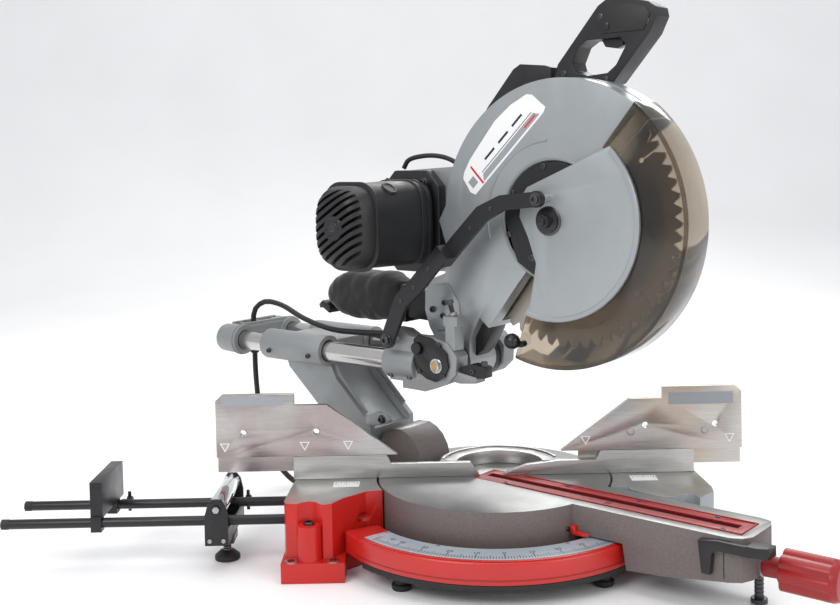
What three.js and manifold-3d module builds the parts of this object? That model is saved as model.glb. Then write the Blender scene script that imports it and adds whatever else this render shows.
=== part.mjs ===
// Sliding compound miter saw, millimetres, +Z up, standing on the bench at z = 0.
// Base, turntable, bevel arm, rail carriage, cutting head, guards, fences and
// the left work support are separate solids, each in its own named mesh.
import * as THREE from 'three';
import { mergeVertices } from 'three/addons/utils/BufferGeometryUtils.js';
import Module from 'manifold-3d';

const wasm = await Module();
wasm.setup();

// ---------------------------------------------------------------- driving dimensions
const TABLE_Z = 90;            // height of the machined table above the bench
const MITRE_DEG = 50;          // turntable angle at rest
const TT_R = 148.5;            // turntable radius
const ARC_R0 = 160, ARC_R1 = 207.6;   // front arc of the base
const BASE_X = 259;            // half width of the base wings
const FENCE_T = 9;             // fence thickness
const BLADE_R = 157.5, BLADE_T = 2.8; // 315 mm blade
const BC = [-114, 334];        // blade centre (y, z) in the mitred frame, above the table
const GC = [-122, 332];        // centre of the upper guard, a little ahead of the blade
const GUARD_R = 171.5;         // upper guard outer radius
const GUARD_X = 27;            // upper guard half width
const RIM_R = 178.5;             // lower guard outer radius
const PIV = [38, 149];         // head pivot (y, z) in the mitred frame
const RAIL_X = 48, RAIL_Z = 145, RAIL_R = 14; // rails
const RAIL_Y0 = 78, RAIL_Y1 = 440;    // front and rear end of the rails
const MOT = [110, 328];        // motor axis (y, z)
const LINK_F = [110, 177];     // lower pin of the guard link (y, z)
const LINK_E = 27;             // crank radius of the guard link on the lower guard
const ROD_R = 6, ROD_Z = -31, ROD_Y = [11.4, -60.7]; // left extension rods
const CORD_D = 8;              // mains cord diameter
const KNOB_Z = -37;            // axis of the mitre lock knob

// ---------------------------------------------------------------- solid helpers
const D = Math.PI / 180;
const strip = g => { const h = g.index ? g.clone() : g.clone(); for (const k of Object.keys(h.attributes)) if (k !== 'position') h.deleteAttribute(k); return mergeVertices(h, 1e-4); };
const toM = g => { const h = strip(g); return new wasm.Manifold(new wasm.Mesh({ numProp: 3, vertProperties: new Float32Array(h.attributes.position.array), triVerts: new Uint32Array(h.index.array) })); };
const fromM = m => { const q = m.getMesh(); const g = new THREE.BufferGeometry(); const n = q.numProp; const v = q.vertProperties; const a = new Float32Array(v.length / n * 3); for (let i = 0; i < v.length / n; i++) { a[3 * i] = v[n * i]; a[3 * i + 1] = v[n * i + 1]; a[3 * i + 2] = v[n * i + 2]; } g.setAttribute('position', new THREE.BufferAttribute(a, 3)); g.setIndex(new THREE.BufferAttribute(new Uint32Array(q.triVerts), 1)); return g; };
const join = (...gs) => { let m = toM(gs[0]); for (const g of gs.slice(1)) m = m.add(toM(g)); return fromM(m); };
const cut = (a, ...gs) => { let m = toM(a); for (const g of gs) m = m.subtract(toM(g)); return fromM(m); };
const common = (a, b) => fromM(toM(a).intersect(toM(b)));

const box = (x0, x1, y0, y1, z0, z1) => new THREE.BoxGeometry(x1 - x0, y1 - y0, z1 - z0).translate((x0 + x1) / 2, (y0 + y1) / 2, (z0 + z1) / 2);
const cylZ = (r, x, y, z0, z1, seg = 24, r2 = r) => new THREE.CylinderGeometry(r2, r, z1 - z0, seg).rotateX(Math.PI / 2).translate(x, y, (z0 + z1) / 2);
const cylX = (r, x0, x1, y, z, seg = 24, r2 = r) => new THREE.CylinderGeometry(r2, r, x1 - x0, seg).rotateZ(-Math.PI / 2).translate((x0 + x1) / 2, y, z);
const cylY = (r, y0, y1, x, z, seg = 24, r2 = r) => new THREE.CylinderGeometry(r2, r, y1 - y0, seg).translate(x, (y0 + y1) / 2, z);
const ccw = p => { let a = 0; for (let i = 0; i < p.length; i++) { const q = p[(i + 1) % p.length]; a += p[i][0] * q[1] - q[0] * p[i][1]; } return a > 0 ? p : p.slice().reverse(); };
const v2 = p => p.map(q => new THREE.Vector2(q[0], q[1]));
const shp = (pts, holes = []) => { const s = new THREE.Shape(v2(ccw(pts))); for (const h of holes) s.holes.push(new THREE.Path(v2(ccw(h).slice().reverse()))); return s; };
const ext = (pts, d, holes) => new THREE.ExtrudeGeometry(shp(pts, holes), { depth: d, bevelEnabled: false, steps: 1 });
const exXY = (pts, z0, z1, holes) => ext(pts, z1 - z0, holes).translate(0, 0, z0);
// section given in (y, z), extruded along x
const exYZ = (pts, x0, x1, holes) => ext(pts, x1 - x0, holes).applyMatrix4(new THREE.Matrix4().set(0, 0, 1, x0, 1, 0, 0, 0, 0, 1, 0, 0, 0, 0, 0, 1));
// section given in (x, z), extruded along y
const exXZ = (pts, y0, y1, holes) => ext(pts, y1 - y0, holes).applyMatrix4(new THREE.Matrix4().set(1, 0, 0, 0, 0, 0, -1, y1, 0, 1, 0, 0, 0, 0, 0, 1));
const arc = (cx, cy, r, a0, a1, n) => Array.from({ length: n + 1 }, (_, i) => { const a = (a0 + (a1 - a0) * i / n) * D; return [cx + r * Math.cos(a), cy + r * Math.sin(a)]; });
const ringSec = (cx, cy, r0, r1, a0, a1, n) => [...arc(cx, cy, r1, a0, a1, n), ...arc(cx, cy, r0, a1, a0, n)];
const circ = (cx, cy, r, n = 32) => arc(cx, cy, r, 0, 360, n).slice(0, -1);
const lathe = (prof, seg = 32) => new THREE.LatheGeometry(prof.map(p => new THREE.Vector2(p[0], p[1])), seg); // axis = +Y of the profile
const latheX = (prof, y, z, seg = 32) => lathe(prof, seg).rotateZ(-Math.PI / 2).translate(0, y, z);  // profile (r, x)
const latheZ = (prof, x, y, seg = 32) => lathe(prof, seg).rotateX(Math.PI / 2).translate(x, y, 0);  // profile (r, z)
const latheY = (prof, x, z, seg = 32) => lathe(prof, seg).translate(x, 0, z);                          // profile (r, y)
const sweep = (pts, r, steps, seg = 8) => { const c = new THREE.CatmullRomCurve3(pts.map(p => new THREE.Vector3(...p)), false, 'centripetal'); return new THREE.ExtrudeGeometry(shp(circ(0, 0, r, seg)), { steps, extrudePath: c, bevelEnabled: false }); };

const root = new THREE.Group();
const model = new THREE.Group(); root.add(model);
const base = new THREE.Group(); base.position.z = TABLE_Z; model.add(base);
const mit = new THREE.Group(); mit.position.z = TABLE_Z; mit.rotation.z = MITRE_DEG * D; model.add(mit);
const put = (name, geo, color, rough, metal, parent = mit, opt = {}) => { const g = geo.index ? geo : geo; g.computeVertexNormals(); const m = new THREE.Mesh(g, new THREE.MeshStandardMaterial({ color, roughness: rough, metalness: metal, ...opt })); m.name = name; parent.add(m); return m; };

const RED = 0xd72d23, DRED = 0xa81f1c, TAUPE = 0x7a6c68, SILVER = 0x969b9b, MACH = 0xafb2ac, BLACK = 0x17171a, STEEL = 0xb8babb, DARK = 0x2b2b2e, BRASS = 0xb08d45, RUB = 0x101012;

// ================================================================ BASE (fixed)
// left block: machined top, front foot ledge with two bolt holes, open underside
const leftOut = [[-256, 45], [-256, -1], [-260, -88], [-257, -98], [-243, -101], [-236, -94], [-229, -91], [-222, -94], [-212, -106], [-201, -102], [-190, -83], [-163, -57], [-163, 45]];
const rightOut = [[163, 45], [163, -68], [176, -85], [197, -103.5], [211, -103], [219, -95], [229, -92], [236, -97], [239, -109], [262, -83], [264, -65], [260, 0], [260, 45]];
const rodBores = ROD_Y.map(y => cylX(ROD_R + 0.35, -300, -150, y, ROD_Z, 24));
const cheek = s => exXY([[s * 164, 44.9], ...arc(0, 0, 151.2, 180 - 17.2, 180 + 20, 12).map(p => [-s * p[0], p[1]]), [s * 164, -56]], -58, 0);
put('base_left_block', cut(
  join(exXY(leftOut, -90, 0), cheek(-1), box(-262, -186, -120, -60, -90, -66), cylZ(15, -229, -103, -90, -24, 28)),
  box(-249, -171, -52, 38, -91, -9), box(-252, -196, -84, -66, -91, -68), cylZ(4.5, -250, -112, -91, -50, 16), cylZ(4.5, -200, -112, -91, -50, 16), cylZ(5, -229, -103, -60, -20, 16), ...rodBores),
  RED, 0.3, 0.1, base);
put('base_right_wing', cut(
  join(exXY(rightOut, -90, 0), cheek(1), box(212, 264, -120, -60, -90, -66), cylZ(15, 229, -104, -90, -24, 28)),
  box(171, 252, -60, 38, -91, -9), box(200, 252, -84, -66, -91, -68), cylZ(4.5, 252, -112, -91, -50, 16), cylZ(4.5, 221, -113, -91, -50, 16), cylZ(5, 229, -104, -60, -20, 16)),
  SILVER, 0.45, 0.5, base);
// front arc carries the scale; its ends run into the blocks
const hug = (p, s) => [[0, 0], [s * 0.35, 0], [0, -0.35], [s * 0.3, -0.3]].map(o => exXY(p.map(q => [q[0] + o[0], q[1] + o[1]]), -91, 1));
put('base_front_arc', cut(exXY([...arc(0, 0, ARC_R1, 205, 330, 48), ...arc(0, 0, ARC_R0 + 2, 330, 205, 44)], -64, -37.6), ...hug(leftOut, 1), ...hug(rightOut, -1), box(-290, -185.7, -121, 0, -92, 0), box(211.7, 290, -121, 0, -92, 0)), RED, 0.3, 0.1, base);
put('mitre_scale', exXY(ringSec(0, 0, 166, 199.8, 216, 321, 44), -37.3, -36.1), 0xb9c4cf, 0.4, 0.3, base);
// round pan under the turntable, with webs out to both blocks and to the arc
const pan = join(cylZ(159.5, 0, 0, -84, -60, 56), box(-162.7, 162.7, -46, 40, -84, -66), box(-90, 90, -160, -100, -72, -66));
put('base_pan', cut(pan, cylZ(10, 0, 0, -90, -40, 24), cylZ(150, 0, 0, -84.1, -72, 48)), SILVER, 0.55, 0.4, base);
put('turntable_bolt', join(cylZ(9.5, 0, 0, -70, -30, 20), cylZ(15, 0, 0, -78, -72.3, 6), cylZ(9.5, 0, 0, -73, -69, 20)), STEEL, 0.35, 0.9, base);

// fixed fence: two halves joined by an arch behind the blade
const fL = exXZ([[-258, 0.3], [-18, 0.3], [-30, 18], [-132, 18], [-138, 30], [-258, 30]], 0, FENCE_T);
const fR = exXZ([[12, 0.3], [258, 0.3], [258, 30], [138, 30], [132, 18], [85, 18], [42, 13], [18, 4]], 0, FENCE_T);
const arch = exXY(ringSec(8, 2, 56, 78, 4, 176, 28), 0.3, 17.5);
put('fixed_fence', join(fL, fR, arch), MACH, 0.35, 0.8, base);
const slideFence = s => { const X = v => s * v; const o = s < 0 ? [-357, -255.6, -213.8, -124] : [320, 218.6, 176.8, 87];
  const face = s < 0 ? [[o[0], 30.4], [o[3], 30.4], [o[2], 96.5], [o[1], 96.5], [o[1], 111.5], [o[0] + 8, 111.5], [o[0], 104]] : [[o[0], 30.4], [o[0], 104], [o[0] - 8, 111.5], [o[1], 111.5], [o[1], 96.5], [o[2], 96.5], [o[3], 30.4]];
  const lo = Math.min(o[0], o[3]), hi = Math.max(o[0], o[3]);
  let g = join(exXZ(face, 0, 8.5), box(s < 0 ? lo : lo + 24, s < 0 ? hi - 24 : hi, FENCE_T + 0.4, FENCE_T + 9, 9, 42), box(s < 0 ? lo + 3 : lo + 26, s < 0 ? hi - 26 : hi - 3, 8, FENCE_T + 1, 30.8, 42));
  const hx = s < 0 ? [-322, -228] : [196, 286];
  return cut(g, ...hx.map(x => cylY(4, -1, 12, x, 62, 16))); };
put('left_sliding_fence', slideFence(-1), 0xa8a2a0, 0.3, 0.85, base);
put('right_sliding_fence', slideFence(1), 0xada69c, 0.3, 0.85, base);

// left work support: two rods, bracket with roller, screw foot, stop plate
put('front_extension_rod', cylX(ROD_R, -614, -176, ROD_Y[1], ROD_Z, 20), BLACK, 0.3, 0.6, base);
put('rear_extension_rod', cylX(ROD_R, -610, -176, ROD_Y[0], ROD_Z, 20), BLACK, 0.3, 0.6, base);
const bx0 = -360, bx1 = -331;
const bracket = cut(join(box(bx0, bx1, -76, 44, -58, -38), exXZ([[bx0, -58], [bx1, -58], [bx1, -22], [-334, -8], [-339, -1], [-351, -1], [-356, -8], [bx0, -22]], -76, -72), exXZ([[bx0, -58], [bx1, -58], [bx1, -22], [-334, -8], [-339, -1], [-351, -1], [-356, -8], [bx0, -22]], 40, 44), box(-352, -330, -46, -14, -66, -57)),
  ...ROD_Y.map(y => cylX(ROD_R + 0.3, -380, -300, y, ROD_Z, 20)), cylY(4.3, -80, 50, -345, -12.5, 16), cylZ(5.3, -341, -30, -70, -30, 16), box(bx0 + 3, bx1 - 3, -71, 39, -55, -37));
put('roller_bracket', bracket, BLACK, 0.5, 0.3, base);
put('support_roller', join(cylY(11.5, -70, 38, -345, -12.5, 28), cylY(4, -79, 47, -345, -12.5, 12)), 0xd9dbdd, 0.12, 1, base);
put('support_foot', join(cylZ(5, -341, -30, -84, -44, 16), cylZ(16, -341, -30, -90, -85, 28), cylZ(16, -341, -30, -85, -79, 28, 9)), DARK, 0.4, 0.8, base);
put('stop_plate', cut(join(cut(box(-503, -488, -64, 34, -24.4, 20), box(-500, -491, -61, 31, -25, 17)), box(-502, -489, -68, -54, -41, -22), box(-502, -489, 4, 19, -41, -22)),
  ...ROD_Y.map(y => cylX(ROD_R + 0.3, -520, -450, y, ROD_Z, 20))), BLACK, 0.5, 0.4, base);

// ================================================================ TURNTABLE (mitred frame: -y forward, -x operator left)
const armOut = [[-38, -100], [-38, -338], [-33, -352], [-20, -359], [28, -359], [41, -353], [45, -340], [45, -100]];
const armSide = [[-100, -0], [-359, 0], [-359, -47], [-330, -50], [-262, -60], [-214, -64], [-209.5, -34], [-150, -34], [-100, -34]];
const ttBody = join(cylZ(TT_R, 0, 0, -50, 0, 72), common(exXY(armOut, -70, 0), exYZ(armSide, -60, 60)), exYZ([[96, -50], [96, 4], [100, 20], [108, 33], [119, 42], [132, 47], [150, 46], [163, 38], [170, 24], [170, -50]], -30, 30));
const ttCuts = [cut(cylZ(140, 0, 0, -51, -10, 60), cylZ(26, 0, 0, -52, -9, 24), box(-24, 26, -146, 60, -52, -9)),
  box(-22, 24, -347, 17, -3.2, 1),        // recess of the insert
  box(-9, 13, -338, 12, -30, -2),          // clearance under the kerf
  box(-30, 37, -328, -216, -70, -34),      // open underside of the arm
  cylZ(10, 0, 0, -60, -29, 24),            // centre bolt
  cylY(9, 100, 180, 0, 0, 24),             // bevel pin
  cylY(6.3, -365, -320, 4, KNOB_Z, 16)];
put('turntable', cut(ttBody, ...ttCuts), TAUPE, 0.55, 0.3);
const insSlot = exXY([[-4, -334], [9, -334], [9, 8], [-4, 8]], -4, 2);
put('kerf_insert', cut(box(-21.7, 23.7, -346.7, 16.7, -2.9, 0), insSlot, ...[-300, -200, -100, -10].map(y => cylZ(2, 18, y, -4, 2, 10))), DRED, 0.35, 0.1);
put('mitre_pointer', cut(join(box(-44, -38.3, -150, -128, -33, -24), exXY([[-47, -148], [-38.4, -148], [-42, -168], [-46, -163]], -33.5, -30)), box(-60, -20, -148.2, -120, -40, -33.2), cylZ(TT_R + 0.4, 0, 0, -60, 2, 72)), RED, 0.4, 0.1);
put('mitre_lock_rod', cylY(5.9, -398, -326, 4, KNOB_Z, 16), STEEL, 0.35, 0.9);
const fl = []; for (let i = 0; i < 48; i++) { const a = i / 48 * 360; const r = 23.6 - 2.6 * Math.pow(0.5 - 0.5 * Math.cos(8 * a * D), 2); fl.push([4 + r * Math.cos(a * D), KNOB_Z + r * Math.sin(a * D)]); }
put('mitre_lock_knob', cut(join(exXZ(fl, -438, -384), cylY(11, -384, -362, 4, KNOB_Z, 20, 12), cylY(20, -446, -438, 4, KNOB_Z, 24, 23)), cylY(6.2, -399, -350, 4, KNOB_Z, 16)), DRED, 0.35, 0);
put('detent_lever', join(exYZ([[-307, -6], [-330, -3], [-366, -3], [-386, 0], [-388, -8], [-366, -14], [-330, -14], [-323, -18], [-321, -42], [-311, -42]], -46.5, -38.4), box(-46.5, -24, -386, -362, -13, -2)), BLACK, 0.45, 0.1);
put('arm_foot_screw', join(cylZ(5, 28, -344, -86, -49.7, 16), cylZ(9, 28, -344, -90, -85, 20)), DARK, 0.5, 0.6);

// bevel pivot and lock
put('bevel_pivot_pin', join(cylY(8.7, 104, 214, 0, 0, 24), cylY(15, 214, 222, 0, 0, 6)), STEEL, 0.35, 0.9);

// ================================================================ BEVEL ARM
const ringY = (r0, r1, y0, y1, x, z, seg) => latheY([[r0, y0], [r1, y0], [r1, y1], [r0, y1], [r0, y0]], x, z, seg);
const beamS = [[173, -45], [173, 50], [235, 106], [247, 128], [335, 128], [329, 114], [262, 58], [218, 14], [210, -20], [206, -45]];
const bevelArm = cut(join(cylY(48, 173, 206, 0, 0, 40), exYZ(beamS, -46, 44), cylY(21.5, 246, 366, -RAIL_X, RAIL_Z, 24), cylY(21.5, 246, 366, RAIL_X, RAIL_Z, 24), box(-RAIL_X, RAIL_X, 250, 352, 132, 158)),
  cylY(15.3, 240, 380, -RAIL_X, RAIL_Z, 24), cylY(15.3, 240, 380, RAIL_X, RAIL_Z, 24), cylY(9, 160, 250, 0, 0, 24), cylY(17, 207, 240, 0, 0, 24),
  exYZ([[160, 44], [181, 44], [240, 97], [255, 122], [244, 140], [160, 90]], -37, 35), box(-28, 28, 262, 340, 120, 150.5));
put('bevel_arm', bevelArm, SILVER, 0.45, 0.6);
const bush = (x, y0) => ringY(14.15, 15.1, y0, y0 + 100, x, RAIL_Z, 24);
put('near_rail_bush', bush(-RAIL_X, 256), BRASS, 0.5, 0.7);
put('far_rail_bush', bush(RAIL_X, 256), BRASS, 0.5, 0.7);
put('bevel_lock_lever', join(cylX(8, -64, -46.4, 186, 34, 20), exYZ([[178, 30], [192, 26], [186, 8], [160, -8], [154, 0], [172, 12]], -64, -57)), BLACK, 0.45, 0.1);

// ================================================================ CARRIAGE (rails, rear bracket, yoke)
put('near_rail', cylY(RAIL_R, RAIL_Y0, RAIL_Y1, -RAIL_X, RAIL_Z, 24), STEEL, 0.2, 1);
put('far_rail', cylY(RAIL_R, RAIL_Y0, RAIL_Y1, RAIL_X, RAIL_Z, 24), STEEL, 0.2, 1);
const railBores = [cylY(RAIL_R + 0.2, RAIL_Y0 - 0.3, RAIL_Y1 + 0.3, -RAIL_X, RAIL_Z, 24), cylY(RAIL_R + 0.2, RAIL_Y0 - 0.3, RAIL_Y1 + 0.3, RAIL_X, RAIL_Z, 24)];
put('rear_rail_bracket', cut(join(cylY(22, 422, 463, -RAIL_X, RAIL_Z, 28, 20.5), cylY(22, 422, 463, RAIL_X, RAIL_Z, 28, 20.5), box(-RAIL_X, RAIL_X, 426, 458, 138, 163), box(-RAIL_X + 6, RAIL_X - 6, 427, 432, 162, 168), box(-RAIL_X + 6, RAIL_X - 6, 453, 458, 162, 168)), ...railBores), SILVER, 0.45, 0.6);
const yokeSide = [[124, 128], [124, 182], [116, 190], [98, 189], [84, 182], [70, 182], [46, 184], [22, 178], [8, 162], [10, 140], [24, 127], [60, 113], [84, 114], [100, 124]];
const yoke = cut(join(exYZ(yokeSide, -62, -39), exYZ(yokeSide, 39, 62), cylY(22, 76, 128, -RAIL_X, RAIL_Z, 28), cylY(22, 76, 128, RAIL_X, RAIL_Z, 28), box(-60, 60, 92, 122, 122, 164), box(-60, 60, 76, 100, 113, 128)),
  ...railBores, cylX(9.3, -70, 70, PIV[0], PIV[1], 24));
put('yoke', join(yoke, cylX(7, -72.6, -60, LINK_F[0], LINK_F[1], 16), box(-60, -42, 12, 27, 170, 212), box(-60, -42, 8, 30, 200, 212)), SILVER, 0.45, 0.6);
put('head_pivot_shaft', join(cylX(9, -61.5, 64, PIV[0], PIV[1], 24), cylX(5.6, -71, -61, PIV[0], PIV[1], 6)), STEEL, 0.3, 0.9);
put('pivot_cap_plate', cut(exYZ([[75.4, 172], [75, 180], [68, 186], [46, 183], [34, 176], [22, 166], [19, 149], [26, 135], [40, 128], [56, 131], [72, 140], [75.4, 152]], -66, -62.3), cylX(6, -70, -60, PIV[0], PIV[1], 16), cylX(4.4, -70, -60, 68, 169, 16)), BLACK, 0.5, 0.2);
put('head_lock_pin', join(cylX(4, -67, -62.6, 68, 169, 12), cylX(7.5, -71.5, -66.3, 68, 169, 20)), BLACK, 0.4, 0.1);
// link bar from the yoke pin to the lower guard crank, in its own plane
const P0 = [BC[0], BC[1] + LINK_E];
const lk = [[LINK_F[0], LINK_F[1]], [96, 206], [84, 230], [60, 250], [4, 306], [-34, 342], [-64, 356], [P0[0], P0[1]]];
const strip2 = (pts, w) => { const L = [], R = []; for (let i = 0; i < pts.length; i++) { const a = pts[Math.max(0, i - 1)], b = pts[Math.min(pts.length - 1, i + 1)]; const dx = b[0] - a[0], dy = b[1] - a[1], l = Math.hypot(dx, dy); const ww = Array.isArray(w) ? w[i] : w; L.push([pts[i][0] - dy / l * ww, pts[i][1] + dx / l * ww]); R.push([pts[i][0] + dy / l * ww, pts[i][1] - dx / l * ww]); } return [...L, ...R.reverse()]; };
const lkLo = [lk[0], lk[1], lk[2], lk[3], [16, 294]], lkUp = [[24, 286], ...lk.slice(4)];
put('guard_link', join(exYZ(strip2(lkLo, [10, 10.5, 11, 11, 11]), -79, -73), cylX(11, -79, -73, LINK_F[0], LINK_F[1], 20), exYZ(strip2(lkUp, [11, 11, 11, 9.5, 9]), -62, -56), exYZ(strip2([[27, 283], [15, 295]], 11), -79, -56), cylX(10, -62, -56, P0[0], P0[1], 20)), BLACK, 0.45, 0.2);

// ================================================================ HEAD
const C = (r, x0, x1, seg = 44) => cylX(r, x0, x1, BC[0], BC[1], seg);
const pol = (r, a) => [BC[0] - r * Math.cos(a * D), BC[1] + r * Math.sin(a * D)]; // a: 0 forward, 90 up
const sector = (r, a0, a1, n) => { const p = [GC.slice()]; for (let i = 0; i <= n; i++) { const a = (a0 + (a1 - a0) * i / n) * D; p.push([GC[0] - r * Math.cos(a), GC[1] + r * Math.sin(a)]); } return p.reverse(); };
const armP = [[62, 149], [66, 170], [80, 190], [87, 212], [86, 236], [74, 254], [52, 262], [46, 290], [60, 330], [20, 400], [-60, 400], [-70, 300], [-82, 286], [-34, 234], [-2, 208], [14, 180], [15, 149], [22, 130], [38, 124], [54, 130]];
const coverP = o => [...arc(BC[0], BC[1], 70 + o, 0, 180, 24), [BC[0] - 62 - o, 296], [BC[0] - 30, 268 - o], [BC[0] + 20, 262 - o], [BC[0] + 52 + o, 282 - o]];
let head = join(exYZ(sector(GUARD_R, 44, 232, 52), -GUARD_X, GUARD_X), exYZ(armP, -GUARD_X, GUARD_X), cylX(25, -36, 36, PIV[0], PIV[1], 24), exYZ([[46, 262], [146, 262], [158, 276], [158, 380], [146, 394], [30, 400]], -10, GUARD_X + 3), cylX(30, GUARD_X - 1, GUARD_X + 4, BC[0], BC[1], 24));
head = cut(head, exYZ(sector(GUARD_R - 3, 30, 206, 48), -GUARD_X + 3, GUARD_X - 3), C(160.2, -6, GUARD_X - 3, 44), cylX(72, -GUARD_X - 2, -GUARD_X + 4, BC[0], BC[1], 36), cylX(97, -GUARD_X - 0.01, -GUARD_X + 2.2, BC[0], BC[1], 44, 75), cylX(12.4, 0, 60, BC[0], BC[1], 24), cylX(9.3, -60, 60, PIV[0], PIV[1], 24), cylX(13, -20, 60, MOT[0], MOT[1], 24), box(-8, 22, 70, 146, 300, 356), C(77, -GUARD_X + 3.1, GUARD_X - 3.1, 40), exYZ(coverP(1.6), -GUARD_X - 1, -GUARD_X + 3.6));
put('head_casting', head, SILVER, 0.42, 0.55);
put('bolt_cover', cut(exYZ(coverP(0), -GUARD_X + 0.4, -GUARD_X + 2.9), cylX(17, -60, 0, BC[0], BC[1], 24)), BLACK, 0.5, 0.1);
// belt case on the far side from the motor shaft to the arbor
const obl = (r, n) => [...arc(MOT[0], MOT[1], r, -90, 90, n), ...arc(BC[0], BC[1], r, 90, 270, n)];
put('belt_case', cut(exYZ(obl(44, 16), GUARD_X + 4.3, 62), exYZ(obl(40, 16), GUARD_X + 8, 63), cylX(13, 20, 60, MOT[0], MOT[1], 24), cylX(13, 20, 60, BC[0], BC[1], 24)), SILVER, 0.45, 0.55);
put('belt_cover', exYZ(obl(44, 16), 62.3, 66), BLACK, 0.5, 0.05);
put('drive_belt', exYZ(obl(24, 14), 42, 56, [obl(21.4, 14)]), RUB, 0.8, 0);
put('arbor', cut(join(cylX(12, -14, 58, BC[0], BC[1], 24), cylX(26, BLADE_T / 2 + 0.2, BLADE_T / 2 + 6, BC[0], BC[1], 24), cylX(21, 42, 56, BC[0], BC[1], 24), cylX(24, -BLADE_T / 2 - 5, -BLADE_T / 2 - 0.2, BC[0], BC[1], 24), cylX(11, -20, -13, BC[0], BC[1], 6)), cylX(1, -60, -50, BC[0], BC[1], 6)), STEEL, 0.3, 0.9);
// blade: 60 teeth with gullets, expansion slots and vent holes
const teeth = 60, bp = []; for (let i = 0; i < teeth; i++) { const a = i * 360 / teeth; for (const [f, r] of [[0, BLADE_R], [0.32, BLADE_R - 2], [0.6, BLADE_R - 10]]) bp.push(pol(r, -(a + f * 360 / teeth))); }
const slotCut = a => exYZ([pol(170, a - 0.35), pol(170, a + 0.35), pol(132, a + 0.4), pol(132, a - 0.4)].reverse(), -4, 4);
put('saw_blade', cut(exYZ(bp, -BLADE_T / 2, BLADE_T / 2), cylX(12.3, -4, 4, BC[0], BC[1], 24), ...[33, 105, 177, 249, 321].flatMap(a => [slotCut(a), cylX(3, -4, 4, ...pol(131, a), 12)])), 0x8f8a80, 0.3, 1);

// motor: shaft, flange, body, end cap, brush caps
const oct = (h, v, c) => [[h, -(v - c)], [h, v - c], [h - c, v], [-(h - c), v], [-h, v - c], [-h, -(v - c)], [-(h - c), -v], [h - c, -v]].map(p => [MOT[0] + p[0], MOT[1] + p[1]]);
const rnd = (h, v, c) => [[1, 1, 0], [-1, 1, 90], [-1, -1, 180], [1, -1, 270]].flatMap(([a, b, t]) => arc(a * (h - c), b * (v - c), c, t, t + 90, 5)).map(p => [MOT[0] + p[0], MOT[1] + p[1]]);
put('motor_flange', cut(exYZ(oct(48, 67, 20), -24, -10.3), cylX(14, -30, 0, MOT[0], MOT[1], 24)), SILVER, 0.45, 0.5);
put('motor_housing', join(cut(exYZ(oct(47, 62, 22), -34, -24.3), cylX(38, -80, -20, MOT[0], MOT[1], 28)), cut(exYZ(rnd(45, 55, 28), -144, -33), cylX(38, -170, -30, MOT[0], MOT[1], 28)), cylY(11, 150, 162, -104, MOT[1] + 10, 16)), BLACK, 0.5, 0.05);
let endc = cut(join(exYZ(rnd(43, 53, 27), -162, -144.3), exYZ(rnd(38, 48, 25), -172, -161)), cylX(35, -168, -140, MOT[0], MOT[1], 24), ...[-36, -24, -12, 0, 12, 24, 36].map(k => exYZ([[MOT[0] - 27, MOT[1] + k - 5], [MOT[0] + 27, MOT[1] + k + 3], [MOT[0] + 27, MOT[1] + k + 7], [MOT[0] - 27, MOT[1] + k - 1]], -175, -165)));
put('motor_end_cap', join(endc, cylX(13, -174, -164, MOT[0], MOT[1], 20)), BLACK, 0.5, 0.05);
put('motor_shaft', join(cylX(8, -142, 56, MOT[0], MOT[1], 12), cylX(32, -134, -50, MOT[0], MOT[1], 20), cylX(21, 42, 56, MOT[0], MOT[1], 24)), STEEL, 0.35, 0.8);
// handle on the far side of the guard
const dOut = [[-78, 500], [-88, 524], [-146, 590], [-158, 597], [-194, 594], [-214, 589], [-223, 582], [-225, 572], [-215, 552], [-166, 497], [-145, 489]];
const dIn = [[-112, 514], [-109, 524], [-118, 543], [-130, 550], [-176, 550], [-184, 541], [-170, 518], [-158, 509], [-130, 507]];
put('d_handle', cut(join(exYZ(dOut, 30, 62, [dIn.slice().reverse()]), exYZ([[-84, 440], [-144, 440], [-160, 492], [-82, 504]], GUARD_X + 0.4, 44)), box(38, 54, -178.5, -142.5, 545, 557)), BLACK, 0.55, 0);
put('carry_handle', join(exYZ([[-76.5, 500], [-76.5, 521], [-68, 524], [-30, 528], [-19, 522], [24, 474], [33, 456], [37, 438], [22, 430], [12, 440], [6, 458], [-22, 490], [-36, 503]], 32, 58), exYZ([[37, 440], [22, 424], [-4, 424], [2, 452], [20, 462]], GUARD_X + 0.4, 58)), BLACK, 0.55, 0);
put('trigger', exYZ([[-144, 552.5], [-177, 552.5], [-175, 542], [-166, 538], [-150, 541]], 39, 53), 0x202024, 0.4, 0);
// dust bag and its clip on the rear spout
put('dust_spout', cut(join(exYZ([[89.5, 196], [89.5, 234], [128, 236], [132, 198]], -18, 22), box(-24, 28, 124, 132, 192, 242)), exYZ([[85, 202], [85, 228], [140, 230], [140, 204]], -13, 17)), BLACK, 0.5, 0);
const bagSec = [[133, 190], [133, 246], [150, 258], [200, 261], [252, 256], [274, 243], [281, 218], [273, 197], [250, 185], [200, 181], [150, 182]];
put('dust_bag', exYZ(bagSec, -34, 40), BLACK, 0.9, 0);

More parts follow.
